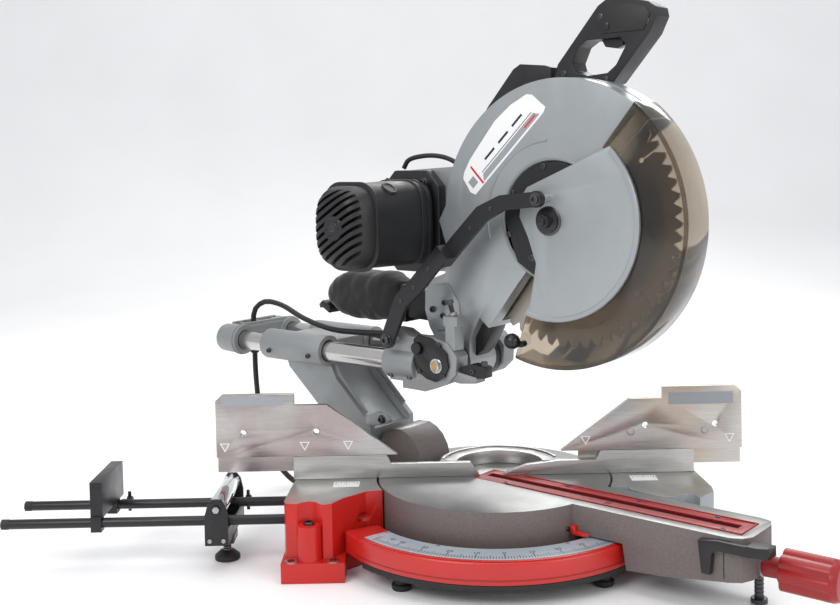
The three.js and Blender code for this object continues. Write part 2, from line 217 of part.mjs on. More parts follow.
// ================================================================ LOWER GUARD
const rimEnd0 = 50, rimEnd1 = -108;
const rimP = (r0, r1, n) => { const p = []; for (let i = 0; i <= n; i++) p.push(pol(r1, rimEnd0 + (rimEnd1 - rimEnd0) * i / n)); for (let i = n; i >= 0; i--) p.push(pol(r0, rimEnd0 + (rimEnd1 - rimEnd0) * i / n)); return p; };
put('guard_rim', join(exYZ(rimP(112, RIM_R, 48), -31, -28.7), exYZ(rimP(177.2, RIM_R, 48), -31, 20)), 0x6b5a45, 0.15, 0, mit, { transparent: true, opacity: 0.45 });
const plateP = []; for (let i = 0; i <= 30; i++) plateP.push(pol(121, 46 - (46 + 108) * i / 30)); for (const q of [[-28, -100], [-19, -52], [-30, -20], [-42, 4], [-38, 30], [-30, 40]]) plateP.push([BC[0] - q[0], BC[1] + q[1]]);
put('guard_plate', cut(join(exYZ(plateP, -35, -31.3), exYZ([...arc(BC[0], BC[1] + LINK_E, 13, 0, 180, 12), [BC[0] - 13, BC[1]], [BC[0] + 13, BC[1]]], -35, -31.3), cylX(5, -55.4, -33, ...P0, 16), cylX(8, -55.4, -51, ...P0, 16)), cylX(8.3, -40, -20, BC[0], BC[1], 20)), SILVER, 0.4, 0.6);
put('guard_bolt', join(cylX(8, -50, -27.4, BC[0], BC[1], 20), cylX(15, -40, -35.3, BC[0], BC[1], 28), cylX(6, -54, -50, BC[0], BC[1], 6)), BLACK, 0.4, 0.4);
put('guard_roller', join(new THREE.SphereGeometry(10, 14, 8).translate(-42.5, ...pol(156, -109)), cylX(4, -40, -31.3, ...pol(156, -105), 10)), BLACK, 0.4, 0);

// ================================================================ CABLES
put('supply_cable', sweep([[-24, 110, 164.4], [-24, 110.5, 170], [-24, 118, 176.5], [-24, 140, 175], [-22, 200, 171], [-18, 270, 169.5], [-15, 330, 180], [-14, 378, 196], [-14, 415, 198], [-14, 436, 186], [-14, 441, 174], [-14, 441, 163.4]], 4, 30, 8), RUB, 0.6, 0);
// free mains cord: gland under the rear bracket, a slack drop to the bench, a storage coil and the plug
const CORD = [[-14, 440, 118], [-14, 440, 104], [-14, 439, 80], [-12, 437, 40], [-8, 433, 0], [0, 425, -36], [10, 412, -64], [18, 394, -80.5], [23.5, 372, -85.6], [29.2, 341.8, -85.7]];
put('cord_gland', latheZ([[0, 118.3], [6, 118.3], [6.5, 121], [9, 130], [9, 137.6], [0, 137.6]], -14, 440, 20), RUB, 0.6, 0);
put('mains_cord', sweep(CORD, CORD_D / 2, 22, 10), RUB, 0.6, 0);
put('cord_coil', latheZ([[36.5, -90], [53.7, -90], [53.7, -66], [36.5, -66], [36.5, -90]], 81, 316, 36), RUB, 0.6, 0);
put('plug', join(cylX(5, 118, 134, 361, -71, 14), cylX(17, 133, 168, 361, -72, 24), cylX(2.4, 167, 186, 352, -72, 10), cylX(2.4, 167, 186, 370, -72, 10)), RUB, 0.5, 0);

// the row origin is the bottom centre of the machine without its free cord
const all = new THREE.Box3();
root.updateMatrixWorld(true);
root.traverse(o => { if (o.isMesh && !['mains_cord', 'cord_coil', 'plug', 'cord_gland'].includes(o.name)) all.expandByObject(o, true); });
model.position.set(-(all.min.x + all.max.x) / 2, -(all.min.y + all.max.y) / 2, -all.min.z);
root.updateMatrixWorld(true);
export default root;
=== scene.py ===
import bpy, bmesh, math, random
from mathutils import Vector, Matrix, noise


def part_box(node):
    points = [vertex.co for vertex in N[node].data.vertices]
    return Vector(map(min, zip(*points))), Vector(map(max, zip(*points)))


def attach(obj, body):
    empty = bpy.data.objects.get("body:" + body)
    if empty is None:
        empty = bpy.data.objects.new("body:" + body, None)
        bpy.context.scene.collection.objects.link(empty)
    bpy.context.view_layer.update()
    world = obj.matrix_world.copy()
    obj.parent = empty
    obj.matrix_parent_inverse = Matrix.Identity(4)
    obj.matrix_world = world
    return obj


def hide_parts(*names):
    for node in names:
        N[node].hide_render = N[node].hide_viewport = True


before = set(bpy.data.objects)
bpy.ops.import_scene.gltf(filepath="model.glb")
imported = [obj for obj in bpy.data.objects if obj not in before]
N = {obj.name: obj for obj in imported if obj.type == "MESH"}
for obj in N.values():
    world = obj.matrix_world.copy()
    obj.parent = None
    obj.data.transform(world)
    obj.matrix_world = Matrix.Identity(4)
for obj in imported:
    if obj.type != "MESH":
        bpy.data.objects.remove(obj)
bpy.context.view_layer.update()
random.seed(7)

# ------------------------------------------------------------------ frames
lo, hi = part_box("turntable_bolt")
PIV = Vector(((lo[0] + hi[0]) / 2, (lo[1] + hi[1]) / 2, 0.090))
M50 = math.radians(50)
RZ = Matrix.Rotation(M50, 4, 'Z')
MIT = Matrix.Translation(PIV) @ RZ          # mitred frame, metres: -y forward, -x operator left, z above the table
BAS = Matrix.Translation(PIV)               # base frame, z above the table
mm = 0.001

def ML(x, y, z):
    return MIT @ Vector((x * mm, y * mm, z * mm))

def BL(x, y, z):
    return BAS @ Vector((x * mm, y * mm, z * mm))

# ------------------------------------------------------------------ node helpers
class Mat:
    def __init__(self, name):
        self.m = bpy.data.materials.new(name)
        self.m.use_nodes = True
        self.t = self.m.node_tree
        self.b = self.t.nodes["Principled BSDF"]
        self.co = self.t.nodes.new("ShaderNodeTexCoord")

    def n(self, kind, **k):
        x = self.t.nodes.new(kind)
        for a, v in k.items():
            if hasattr(x, a):
                setattr(x, a, v)
            else:
                x.inputs[a].default_value = v
        return x

    def l(self, a, b):
        self.t.links.new(a, b)

    def noise(self, scale, detail=4.0, rough=0.5, stretch=None, src="Object"):
        x = self.n("ShaderNodeTexNoise")
        x.inputs["Scale"].default_value = scale
        x.inputs["Detail"].default_value = detail
        x.inputs["Roughness"].default_value = rough
        if stretch:
            mp = self.n("ShaderNodeMapping")
            mp.inputs["Scale"].default_value = stretch
            self.l(self.co.outputs[src], mp.inputs["Vector"])
            self.l(mp.outputs[0], x.inputs["Vector"])
        else:
            self.l(self.co.outputs[src], x.inputs["Vector"])
        return x.outputs["Fac"]

    def voronoi(self, scale, feature='F1'):
        x = self.n("ShaderNodeTexVoronoi", feature=feature)
        x.inputs["Scale"].default_value = scale
        self.l(self.co.outputs["Object"], x.inputs["Vector"])
        return x.outputs["Distance"]

    def ramp(self, fac, stops):
        x = self.n("ShaderNodeValToRGB")
        e = x.color_ramp.elements
        e[0].position, e[0].color = stops[0][0], (*stops[0][1], 1)
        e[1].position, e[1].color = stops[-1][0], (*stops[-1][1], 1)
        for p, c in stops[1:-1]:
            q = e.new(p); q.color = (*c, 1)
        self.l(fac, x.inputs["Fac"])
        return x.outputs["Color"]

    def rng(self, fac, a, b, lo=0.3, hi=0.7):
        x = self.n("ShaderNodeMapRange")
        x.inputs["From Min"].default_value = lo
        x.inputs["From Max"].default_value = hi
        x.inputs["To Min"].default_value = a
        x.inputs["To Max"].default_value = b
        self.l(fac, x.inputs["Value"])
        return x.outputs["Result"]

    def mix(self, fac, a, b, kind='MIX'):
        x = self.n("ShaderNodeMix", data_type='RGBA', blend_type=kind)
        for s, v in ((0, fac), (6, a), (7, b)):
            if hasattr(v, "default_value") or hasattr(v, "is_linked"):
                self.l(v, x.inputs[s])
            elif isinstance(v, (int, float)):
                x.inputs[s].default_value = v
            else:
                x.inputs[s].default_value = (*v, 1)
        return x.outputs[2]

    def math(self, op, a, b=0.0, clamp=False):
        x = self.n("ShaderNodeMath", operation=op, use_clamp=clamp)
        for i, v in enumerate((a, b)):
            if hasattr(v, "is_linked"):
                self.l(v, x.inputs[i])
            else:
                x.inputs[i].default_value = v
        return x.outputs[0]

    def bump(self, h, strength=0.2, dist=0.0005, prev=None):
        x = self.n("ShaderNodeBump")
        x.inputs["Strength"].default_value = strength
        x.inputs["Distance"].default_value = dist
        self.l(h, x.inputs["Height"])
        if prev is not None:
            self.l(prev, x.inputs["Normal"])
        return x.outputs["Normal"]

    def col(self, c):
        self.l(c, self.b.inputs["Base Color"]) if hasattr(c, "is_linked") else setattr(self.b.inputs["Base Color"], "default_value", (*c, 1))

    def set(self, **k):
        for a, v in k.items():
            a = a.replace("_", " ")
            if hasattr(v, "is_linked"):
                self.l(v, self.b.inputs[a])
            else:
                self.b.inputs[a].default_value = v

    def nrm(self, n):
        self.l(n, self.b.inputs["Normal"])

    def upmask(self, edge=0.93):
        s = self.n("ShaderNodeSeparateXYZ")
        self.l(self.co.outputs["Normal"], s.inputs[0])
        return self.rng(s.outputs[2], 0.0, 1.0, edge, edge + 0.02)

    def pos(self):
        s = self.n("ShaderNodeSeparateXYZ")
        self.l(self.co.outputs["Object"], s.inputs[0])
        return s.outputs

def var(c, k):
    return tuple(max(0.0, min(1.0, v * k)) for v in c)

MATS = {}
def lib(f):
    MATS[f.__name__] = f()
    return f

def paint(name, c, rough, metal, coat, bump=0.06, scale=900, mottled=0.93, coat_r=0.12, dirt=0.85):
    m = Mat(name)
    a = m.noise(7, 5, 0.6)
    b = m.noise(160, 3, 0.6)
    base = m.ramp(a, [(0.3, var(c, mottled)), (0.7, var(c, 1.05))])
    base = m.mix(m.rng(b, 0.0, 0.35, 0.55, 0.75), base, var(c, dirt))
    m.col(base)
    m.set(Roughness=m.rng(m.noise(38, 5), rough * 0.85, rough * 1.2), Metallic=metal)
    m.b.inputs["Coat Weight"].default_value = coat
    m.b.inputs["Coat Roughness"].default_value = coat_r
    m.nrm(m.bump(m.noise(scale, 2), bump, 0.0004))
    return m.m

@lib
def red_paint():
    return paint("red_paint", (0.50, 0.012, 0.008), 0.36, 0.0, 0.35, 0.10, 420, 0.9)

@lib
def red_plastic():
    return paint("red_plastic", (0.30, 0.006, 0.007), 0.38, 0.0, 0.15, 0.12, 1500, 0.9)

@lib
def silver_paint():
    return paint("silver_paint", (0.335, 0.355, 0.362), 0.40, 0.55, 0.15, 0.10, 700, 0.93, 0.25, 0.88)

@lib
def silver_guard():
    return paint("silver_guard", (0.34, 0.362, 0.372), 0.36, 0.5, 0.25, 0.05, 900, 0.95, 0.2, 0.92)

@lib
def cast_silver():
    return paint("cast_silver", (0.30, 0.315, 0.318), 0.48, 0.6, 0.05, 0.35, 520, 0.88, 0.3, 0.8)

@lib
def black_plastic():
    return paint("black_plastic", (0.0085, 0.0085, 0.0095), 0.42, 0.0, 0.0, 0.25, 2200, 0.8, 0.2, 1.4)

@lib
def black_satin():
    return paint("black_satin", (0.010, 0.010, 0.011), 0.30, 0.1, 0.1, 0.10, 1200, 0.8, 0.2, 1.5)

@lib
def black_steel():
    return paint("black_steel", (0.014, 0.014, 0.016), 0.36, 0.25, 0.1, 0.22, 1300, 0.8, 0.25, 1.6)

@lib
def rubber():
    return paint("rubber", (0.012, 0.012, 0.012), 0.58, 0.0, 0.0, 0.2, 1800, 0.8, 0.3, 1.5)

@lib
def brass():
    return paint("brass", (0.52, 0.35, 0.13), 0.33, 1.0, 0.0, 0.08, 900, 0.85)

@lib
def white_label():
    return paint("white_label", (0.80, 0.80, 0.79), 0.35, 0.0, 0.2, 0.02, 900, 0.98, 0.2, 0.97)

@lib
def grey_label():
    return paint("grey_label", (0.30, 0.32, 0.34), 0.35, 0.1, 0.2, 0.02, 900, 0.96, 0.2, 0.95)

@lib
def red_label():
    return paint("red_label", (0.62, 0.02, 0.02), 0.35, 0.0, 0.2, 0.02, 900, 0.97, 0.2, 0.95)

@lib
def dark_ink():
    return paint("dark_ink", (0.02, 0.022, 0.03), 0.45, 0.0, 0.0, 0.02, 900, 0.9, 0.2, 1.2)

@lib
def blue_ink():
    return paint("blue_ink", (0.05, 0.16, 0.42), 0.45, 0.0, 0.0, 0.02, 900, 0.95, 0.2, 0.95)

@lib
def scale_plate():
    return paint("scale_plate", (0.50, 0.565, 0.62), 0.32, 0.35, 0.3, 0.03, 1200, 0.95, 0.2, 0.94)

def steel(name, c, rough, axis_stretch, strength=0.12, scale=60):
    m = Mat(name)
    a = m.noise(scale, 4, 0.7, stretch=axis_stretch)
    b = m.noise(9, 4, 0.6)
    base = m.mix(m.rng(a, 0, 1), var(c, 0.88), var(c, 1.1))
    base = m.mix(m.rng(b, 0, 0.4), base, var(c, 0.8))
    m.col(base)
    m.set(Metallic=1.0, Roughness=m.rng(a, rough * 0.8, rough * 1.25))
    m.nrm(m.bump(a, strength, 0.0003))
    return m.m

@lib
def bright_steel():
    return steel("bright_steel", (0.56, 0.56, 0.55), 0.24, (1, 1, 1), 0.05, 220)

@lib
def zinc():
    return steel("zinc", (0.45, 0.45, 0.44), 0.34, (1, 1, 1), 0.08, 300)

@lib
def dark_steel():
    return steel("dark_steel", (0.10, 0.10, 0.105), 0.36, (1, 1, 1), 0.08, 300)

@lib
def chrome():
    return steel("chrome", (0.78, 0.79, 0.80), 0.10, (1, 1, 1), 0.02, 90)

def around(m, cx, cy, cz=0.0, axis='z'):
    """distance from an axis through the point, and the angle, in object space"""
    p = m.pos()
    a, b = {'z': (0, 1)}[axis]
    dx = m.math('SUBTRACT', p[0], cx)
    dy = m.math('SUBTRACT', p[1], cy)
    r = m.math('SQRT', m.math('ADD', m.math('MULTIPLY', dx, dx), m.math('MULTIPLY', dy, dy)))
    return r, m.math('ARCTAN2', dy, dx)

@lib
def rail_steel():
    # ground hard-chromed tube: fine marks round the rail, seen as streaks across its length
    m = Mat("rail_steel")
    p = m.pos()
    u = m.math('ADD', m.math('MULTIPLY', p[0], math.sin(M50)), m.math('MULTIPLY', p[1], -math.cos(M50)))
    c = m.n("ShaderNodeCombineXYZ"); m.l(u, c.inputs[0])
    x = m.n("ShaderNodeTexNoise"); x.inputs["Scale"].default_value = 900; x.inputs["Detail"].default_value = 3
    m.l(c.outputs[0], x.inputs["Vector"])
    f = x.outputs["Fac"]
    m.col(m.mix(m.rng(f, 0, 1), (0.50, 0.49, 0.47), (0.64, 0.63, 0.61)))
    m.set(Metallic=1.0, Roughness=m.rng(m.noise(20, 4), 0.16, 0.26))
    m.nrm(m.bump(f, 0.06, 0.0002))
    return m.m

@lib
def turntable_mat():
    # hammered grey-brown enamel on the cast sides, face-turned aluminium on top
    m = Mat("turntable_mat")
    up = m.upmask(0.97)
    cell = m.voronoi(330, 'SMOOTH_F1')
    fine = m.noise(800, 3)
    side = m.ramp(m.noise(420, 4), [(0.30, (0.128, 0.106, 0.101)), (0.55, (0.150, 0.126, 0.119)), (0.80, (0.172, 0.146, 0.138))])
    r, a = around(m, PIV[0], PIV[1])
    c = m.n("ShaderNodeCombineXYZ"); m.l(r, c.inputs[0])
    x = m.n("ShaderNodeTexNoise"); x.inputs["Scale"].default_value = 1500; x.inputs["Detail"].default_value = 2
    m.l(c.outputs[0], x.inputs["Vector"])
    ring = x.outputs["Fac"]
    cloud = m.noise(11, 5, 0.65)
    top = m.mix(m.rng(ring, 0, 1), (0.27, 0.275, 0.265), (0.36, 0.365, 0.355))
    top = m.mix(m.rng(cloud, 0, 0.55), top, (0.24, 0.24, 0.232))
    m.col(m.mix(up, side, top))
    m.set(Metallic=m.rng(up, 0.15, 0.9, 0, 1))
    ro = m.n("ShaderNodeMix", data_type='FLOAT')
    m.l(up, ro.inputs[0]); m.l(m.rng(fine, 0.45, 0.62), ro.inputs[2]); m.l(m.rng(cloud, 0.3, 0.44), ro.inputs[3])
    m.l(ro.outputs[0], m.b.inputs["Roughness"])
    hh = m.n("ShaderNodeMix", data_type='FLOAT')
    m.l(up, hh.inputs[0]); m.l(m.math('MULTIPLY', cell, 0.35), hh.inputs[2]); m.l(m.math('MULTIPLY', ring, 0.15), hh.inputs[3])
    m.nrm(m.bump(hh.outputs[0], 0.5, 0.0009))
    return m.m

def block(name, c, metal, rough):
    # enamelled casting with a milled top face
    m = Mat(name)
    up = m.upmask(0.97)
    z = m.pos()[2]
    high = m.rng(z, 0.0, 1.0, PIV[2] - 0.0015, PIV[2] - 0.0008)
    k = m.math('MULTIPLY', up, high)
    orange = m.noise(430, 2)
    body = m.ramp(m.noise(7, 5), [(0.3, var(c, 0.88)), (0.7, var(c, 1.05))])
    mill = m.noise(45, 4, 0.6, stretch=(1, 26, 1))
    cloud = m.noise(13, 5, 0.6)
    top = m.mix(m.rng(mill, 0, 1), (0.38, 0.385, 0.37), (0.52, 0.525, 0.51))
    top = m.mix(m.rng(cloud, 0, 0.5), top, (0.33, 0.32, 0.30))
    m.col(m.mix(k, body, top))
    mt = m.n("ShaderNodeMix", data_type='FLOAT'); m.l(k, mt.inputs[0]); mt.inputs[2].default_value = metal; mt.inputs[3].default_value = 0.9
    m.l(mt.outputs[0], m.b.inputs["Metallic"])
    ro = m.n("ShaderNodeMix", data_type='FLOAT'); m.l(k, ro.inputs[0]); ro.inputs[2].default_value = rough; m.l(m.rng(cloud, 0.26, 0.42), ro.inputs[3])
    m.l(ro.outputs[0], m.b.inputs["Roughness"])
    m.nrm(m.bump(m.mix(k, orange, mill), 0.10, 0.0004))
    return m.m

@lib
def red_block():
    return block("red_block", (0.50, 0.012, 0.008), 0.0, 0.28)

@lib
def silver_block():
    return block("silver_block", (0.36, 0.385, 0.40), 0.5, 0.42)

def fence(name, tint_a, tint_b):
    m = Mat(name)
    br = m.noise(30, 5, 0.65, stretch=(1, 1, 45))
    cl = m.noise(9, 4, 0.55)
    cl2 = m.noise(22, 5, 0.65)
    base = m.mix(m.rng(br, 0, 1), (0.40, 0.385, 0.37), (0.58, 0.57, 0.55))
    base = m.mix(m.rng(cl, 0.0, 0.62, 0.42, 0.62), base, tint_a)
    base = m.mix(m.rng(cl2, 0.0, 0.45, 0.5, 0.72), base, tint_b)
    m.col(base)
    m.set(Metallic=0.95, Roughness=m.rng(br, 0.26, 0.40))
    m.nrm(m.bump(br, 0.10, 0.0003))
    return m.m

@lib
def fence_left_mat():
    return fence("fence_left_mat", (0.36, 0.28, 0.27), (0.50, 0.40, 0.41))

@lib
def fence_right_mat():
    return fence("fence_right_mat", (0.52, 0.43, 0.30), (0.52, 0.38, 0.36))

@lib
def machined():
    return fence("machined", (0.42, 0.41, 0.40), (0.47, 0.46, 0.45))

@lib
def blade_mat():
    # ground and lacquered saw plate: fine rings round the arbor
    m = Mat("blade_mat")
    c0 = ML(0, -114, 334)
    p = m.pos()
    u = m.math('ADD', m.math('MULTIPLY', m.math('SUBTRACT', p[0], c0[0]), math.sin(M50)), m.math('MULTIPLY', m.math('SUBTRACT', p[1], c0[1]), -math.cos(M50)))
    w = m.math('SUBTRACT', p[2], c0[2])
    r = m.math('SQRT', m.math('ADD', m.math('MULTIPLY', u, u), m.math('MULTIPLY', w, w)))
    c = m.n("ShaderNodeCombineXYZ"); m.l(r, c.inputs[0])
    x = m.n("ShaderNodeTexNoise"); x.inputs["Scale"].default_value = 1400; x.inputs["Detail"].default_value = 3
    m.l(c.outputs[0], x.inputs["Vector"])
    f = x.outputs["Fac"]
    cl = m.noise(12, 4)
    base = m.mix(m.rng(f, 0, 1), (0.34, 0.305, 0.26), (0.47, 0.43, 0.38))
    base = m.mix(m.rng(cl, 0, 0.5), base, (0.30, 0.25, 0.20))
    m.col(base)
    m.set(Metallic=0.95, Roughness=m.rng(f, 0.26, 0.40))
    m.nrm(m.bump(f, 0.08, 0.0002))
    return m.m

@lib
def carbide():
    return steel("carbide", (0.30, 0.29, 0.28), 0.3, (1, 1, 1), 0.06, 500)

@lib
def smoke_guard():
    m = Mat("smoke_guard")
    c = m.ramp(m.noise(14, 4), [(0.3, (0.36, 0.30, 0.22)), (0.7, (0.44, 0.37, 0.28))])
    m.col(c)
    m.set(Roughness=m.rng(m.noise(55, 6, 0.7), 0.06, 0.16))
    m.b.inputs["IOR"].default_value = 1.46
    m.b.inputs["Transmission Weight"].default_value = 1.0
    m.b.inputs["Coat Weight"].default_value = 0.25
    m.nrm(m.bump(m.noise(24, 3), 0.05, 0.0006))
    return m.m

@lib
def bag_fabric():
    m = Mat("bag_fabric")
    w1 = m.n("ShaderNodeTexWave", wave_type='BANDS', bands_direction='X'); w1.inputs["Scale"].default_value = 340
    w2 = m.n("ShaderNodeTexWave", wave_type='BANDS', bands_direction='Z'); w2.inputs["Scale"].default_value = 340
    for w in (w1, w2):
        w.inputs["Distortion"].default_value = 0.6
        m.l(m.co.outputs["Object"], w.inputs["Vector"])
    weave = m.math('MULTIPLY', w1.outputs["Fac"], w2.outputs["Fac"])
    dust = m.noise(16, 6, 0.65)
    c = m.ramp(weave, [(0.0, (0.004, 0.004, 0.0045)), (1.0, (0.022, 0.022, 0.024))])
    m.col(m.mix(m.rng(dust, 0, 0.25, 0.5, 0.75), c, (0.045, 0.04, 0.034)))
    m.set(Roughness=m.rng(dust, 0.7, 0.9))
    m.b.inputs["Sheen Weight"].default_value = 0.35
    m.b.inputs["Sheen Roughness"].default_value = 0.4
    m.nrm(m.bump(weave, 0.35, 0.0004, m.bump(m.noise(30, 5), 0.25, 0.002)))
    return m.m

@lib
def floor_mat():
    m = Mat("floor_mat")
    m.col(m.ramp(m.noise(3, 4), [(0.3, (0.86, 0.86, 0.86)), (0.7, (0.89, 0.89, 0.89))]))
    m.set(Roughness=m.rng(m.noise(20, 4), 0.5, 0.6))
    return m.m

# ------------------------------------------------------------------ mesh helpers
def finish_obj(o, mat, body=None, smooth=35, bevel=0.0, seg=2, weld=False, planar=False, slot=None, blimit=32, subsurf=0):
    if mat:
        o.data.materials.clear()
        o.data.materials.append(MATS[mat])
    if weld:
        w = o.modifiers.new("weld", 'WELD'); w.merge_threshold = 0.00002
    if planar:
        d = o.modifiers.new("planar", 'DECIMATE'); d.decimate_type = 'DISSOLVE'; d.angle_limit = math.radians(1.0)
    if bevel > 0:
        b = o.modifiers.new("bevel", 'BEVEL'); b.width = bevel; b.segments = seg; b.limit_method = 'ANGLE'; b.angle_limit = math.radians(blimit)
        b.use_clamp_overlap = True; b.harden_normals = False; b.miter_outer = 'MITER_ARC' if False else 'MITER_SHARP'
    if subsurf:
        s = o.modifiers.new("sub", 'SUBSURF'); s.levels = subsurf; s.render_levels = subsurf
    if smooth:
        for p in o.data.polygons:
            p.use_smooth = True
        mod_smooth(o, smooth)
    if body:
        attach(o, body)
    return o

_SM = {}
def mod_smooth(o, deg):
    """a small node group that marks edges sharper than the angle"""
    if deg not in _SM:
        g = bpy.data.node_groups.new("smooth%d" % deg, 'GeometryNodeTree')
        g.interface.new_socket("Geometry", in_out='INPUT', socket_type='NodeSocketGeometry')
        g.interface.new_socket("Geometry", in_out='OUTPUT', socket_type='NodeSocketGeometry')
        gi = g.nodes.new("NodeGroupInput"); go = g.nodes.new("NodeGroupOutput")
        a = g.nodes.new("GeometryNodeInputMeshEdgeAngle")
        c = g.nodes.new("FunctionNodeCompare"); c.data_type = 'FLOAT'; c.operation = 'LESS_EQUAL'; c.inputs[1].default_value = math.radians(deg)
        s1 = g.nodes.new("GeometryNodeSetShadeSmooth"); s1.domain = 'FACE'; s1.inputs["Shade Smooth"].default_value = True
        s2 = g.nodes.new("GeometryNodeSetShadeSmooth"); s2.domain = 'EDGE'
        g.links.new(gi.outputs[0], s1.inputs["Geometry"])
        g.links.new(s1.outputs[0], s2.inputs["Geometry"])
        g.links.new(a.outputs["Unsigned Angle"], c.inputs[0])
        g.links.new(c.outputs[0], s2.inputs["Shade Smooth"])
        g.links.new(s2.outputs[0], go.inputs[0])
        _SM[deg] = g
    md = o.modifiers.new("smooth", 'NODES'); md.node_group = _SM[deg]

def new_obj(name, bm, mat, body, M=None, **k):
    me = bpy.data.meshes.new(name)
    if M is not None:
        bm.transform(M)
    bmesh.ops.recalc_face_normals(bm, faces=bm.faces)
    bm.to_mesh(me); bm.free()
    o = bpy.data.objects.new(name, me)
    bpy.context.scene.collection.objects.link(o)
    return finish_obj(o, mat, body, **k)

def face_poly(bm, pts3):
    vs = [bm.verts.new(p) for p in pts3]
    return bm.faces.new(vs)

def extrude_poly(bm, pts, depth_vec):
    """closed prism from a planar outline (list of 3D points, metres)"""
    a = [bm.verts.new(Vector(p)) for p in pts]
    b = [bm.verts.new(Vector(p) + Vector(depth_vec)) for p in pts]
    bm.faces.new(a[::-1]); bm.faces.new(b)
    n = len(pts)
    for i in range(n):
        bm.faces.new((a[i], a[(i + 1) % n], b[(i + 1) % n], b[i]))

def prism_yz(pts, x0, x1):
    bm = bmesh.new()
    extrude_poly(bm, [(x0 * mm, y * mm, z * mm) for y, z in pts], (((x1 - x0) * mm), 0, 0))
    return bm

def prism_xz(pts, y0, y1):
    bm = bmesh.new()
    extrude_poly(bm, [(x * mm, y0 * mm, z * mm) for x, z in pts], (0, (y1 - y0) * mm, 0))
    return bm

def prism_xy(pts, z0, z1):
    bm = bmesh.new()
    extrude_poly(bm, [(x * mm, y * mm, z0 * mm) for x, y in pts], (0, 0, (z1 - z0) * mm))
    return bm

def turned(bm, prof, M, seg=40):
    """profile of (radius, height) in mm, turned about local Z, placed by M (metres)"""
    rings = []
    for r, h in prof:
        if r <= 1e-6:
            rings.append([bm.verts.new(M @ Vector((0, 0, h * mm)))])
        else:
            rings.append([bm.verts.new(M @ Vector((r * mm * math.cos(2 * math.pi * i / seg), r * mm * math.sin(2 * math.pi * i / seg), h * mm))) for i in range(seg)])
    for A, B in zip(rings, rings[1:]):
        for i in range(seg):
            j = (i + 1) % seg
            if len(A) == 1 and len(B) == 1:
                continue
            if len(A) == 1:
                bm.faces.new((A[0], B[i], B[j]))
            elif len(B) == 1:
                bm.faces.new((A[i], A[j], B[0]))
            else:
                bm.faces.new((A[i], A[j], B[j], B[i]))
    return rings

def axis_matrix(p, d):
    d = Vector(d).normalized()
    q = Vector((0, 0, 1)).rotation_difference(d)
    return Matrix.Translation(Vector(p)) @ q.to_matrix().to_4x4()

def screw(name, body, p, d, r=4.0, h=4.0, kind="socket", mat="dark_steel", washer=0.0):
    """a cap screw head: p on the surface, d outward, in row frame metres; sizes in mm"""
    M = axis_matrix(p, d)
    bm = bmesh.new()
    if washer > 0:
        turned(bm, [(0, -0.2), (washer - 0.3, -0.2), (washer, 0.1), (washer, 1.0), (washer - 0.4, 1.3), (0, 1.3)], M, 32)
        M = M @ Matrix.Translation((0, 0, 1.3 * mm))
    if kind == "hex":
        def hexring(rr, z):
            return [bm.verts.new(M @ Vector((rr * mm * math.cos(math.pi / 3 * i), rr * mm * math.sin(math.pi / 3 * i), z * mm))) for i in range(6)]
        R = [hexring(r, -0.2), hexring(r, h * 0.86), hexring(r * 0.86, h)]
        for A, B in zip(R, R[1:]):
            for i in range(6):
                bm.faces.new((A[i], A[(i + 1) % 6], B[(i + 1) % 6], B[i]))
        bm.faces.new(R[-1]); bm.faces.new(R[0][::-1])
    else:
        seg = 28
        turned(bm, [(0, -0.2), (r, -0.2), (r, h * 0.8), (r * 0.88, h)], M, seg)
        bm.verts.ensure_lookup_table()
        # top land, then a six-sided socket
        top = [v for v in bm.verts][-seg:]
        hx = [bm.verts.new(M @ Vector((r * 0.52 * mm * math.cos(math.pi / 3 * i), r * 0.52 * mm * math.sin(math.pi / 3 * i), h * mm))) for i in range(6)]
        hb = [bm.verts.new(M @ Vector((r * 0.52 * mm * math.cos(math.pi / 3 * i), r * 0.52 * mm * math.sin(math.pi / 3 * i), h * 0.35 * mm))) for i in range(6)]
        for i in range(seg):
            j = (i + 1) % seg
            k = int(round(i / seg * 6)) % 6; k2 = int(round((i + 1) / seg * 6)) % 6
            if k == k2:
                bm.faces.new((top[i], top[j], hx[k]))
            else:
                bm.faces.new((top[i], top[j], hx[k2], hx[k]))
        for i in range(6):
            bm.faces.new((hx[i], hx[(i + 1) % 6], hb[(i + 1) % 6], hb[i]))
        bm.faces.new(hb)
    return new_obj(name, bm, mat, body, smooth=30)

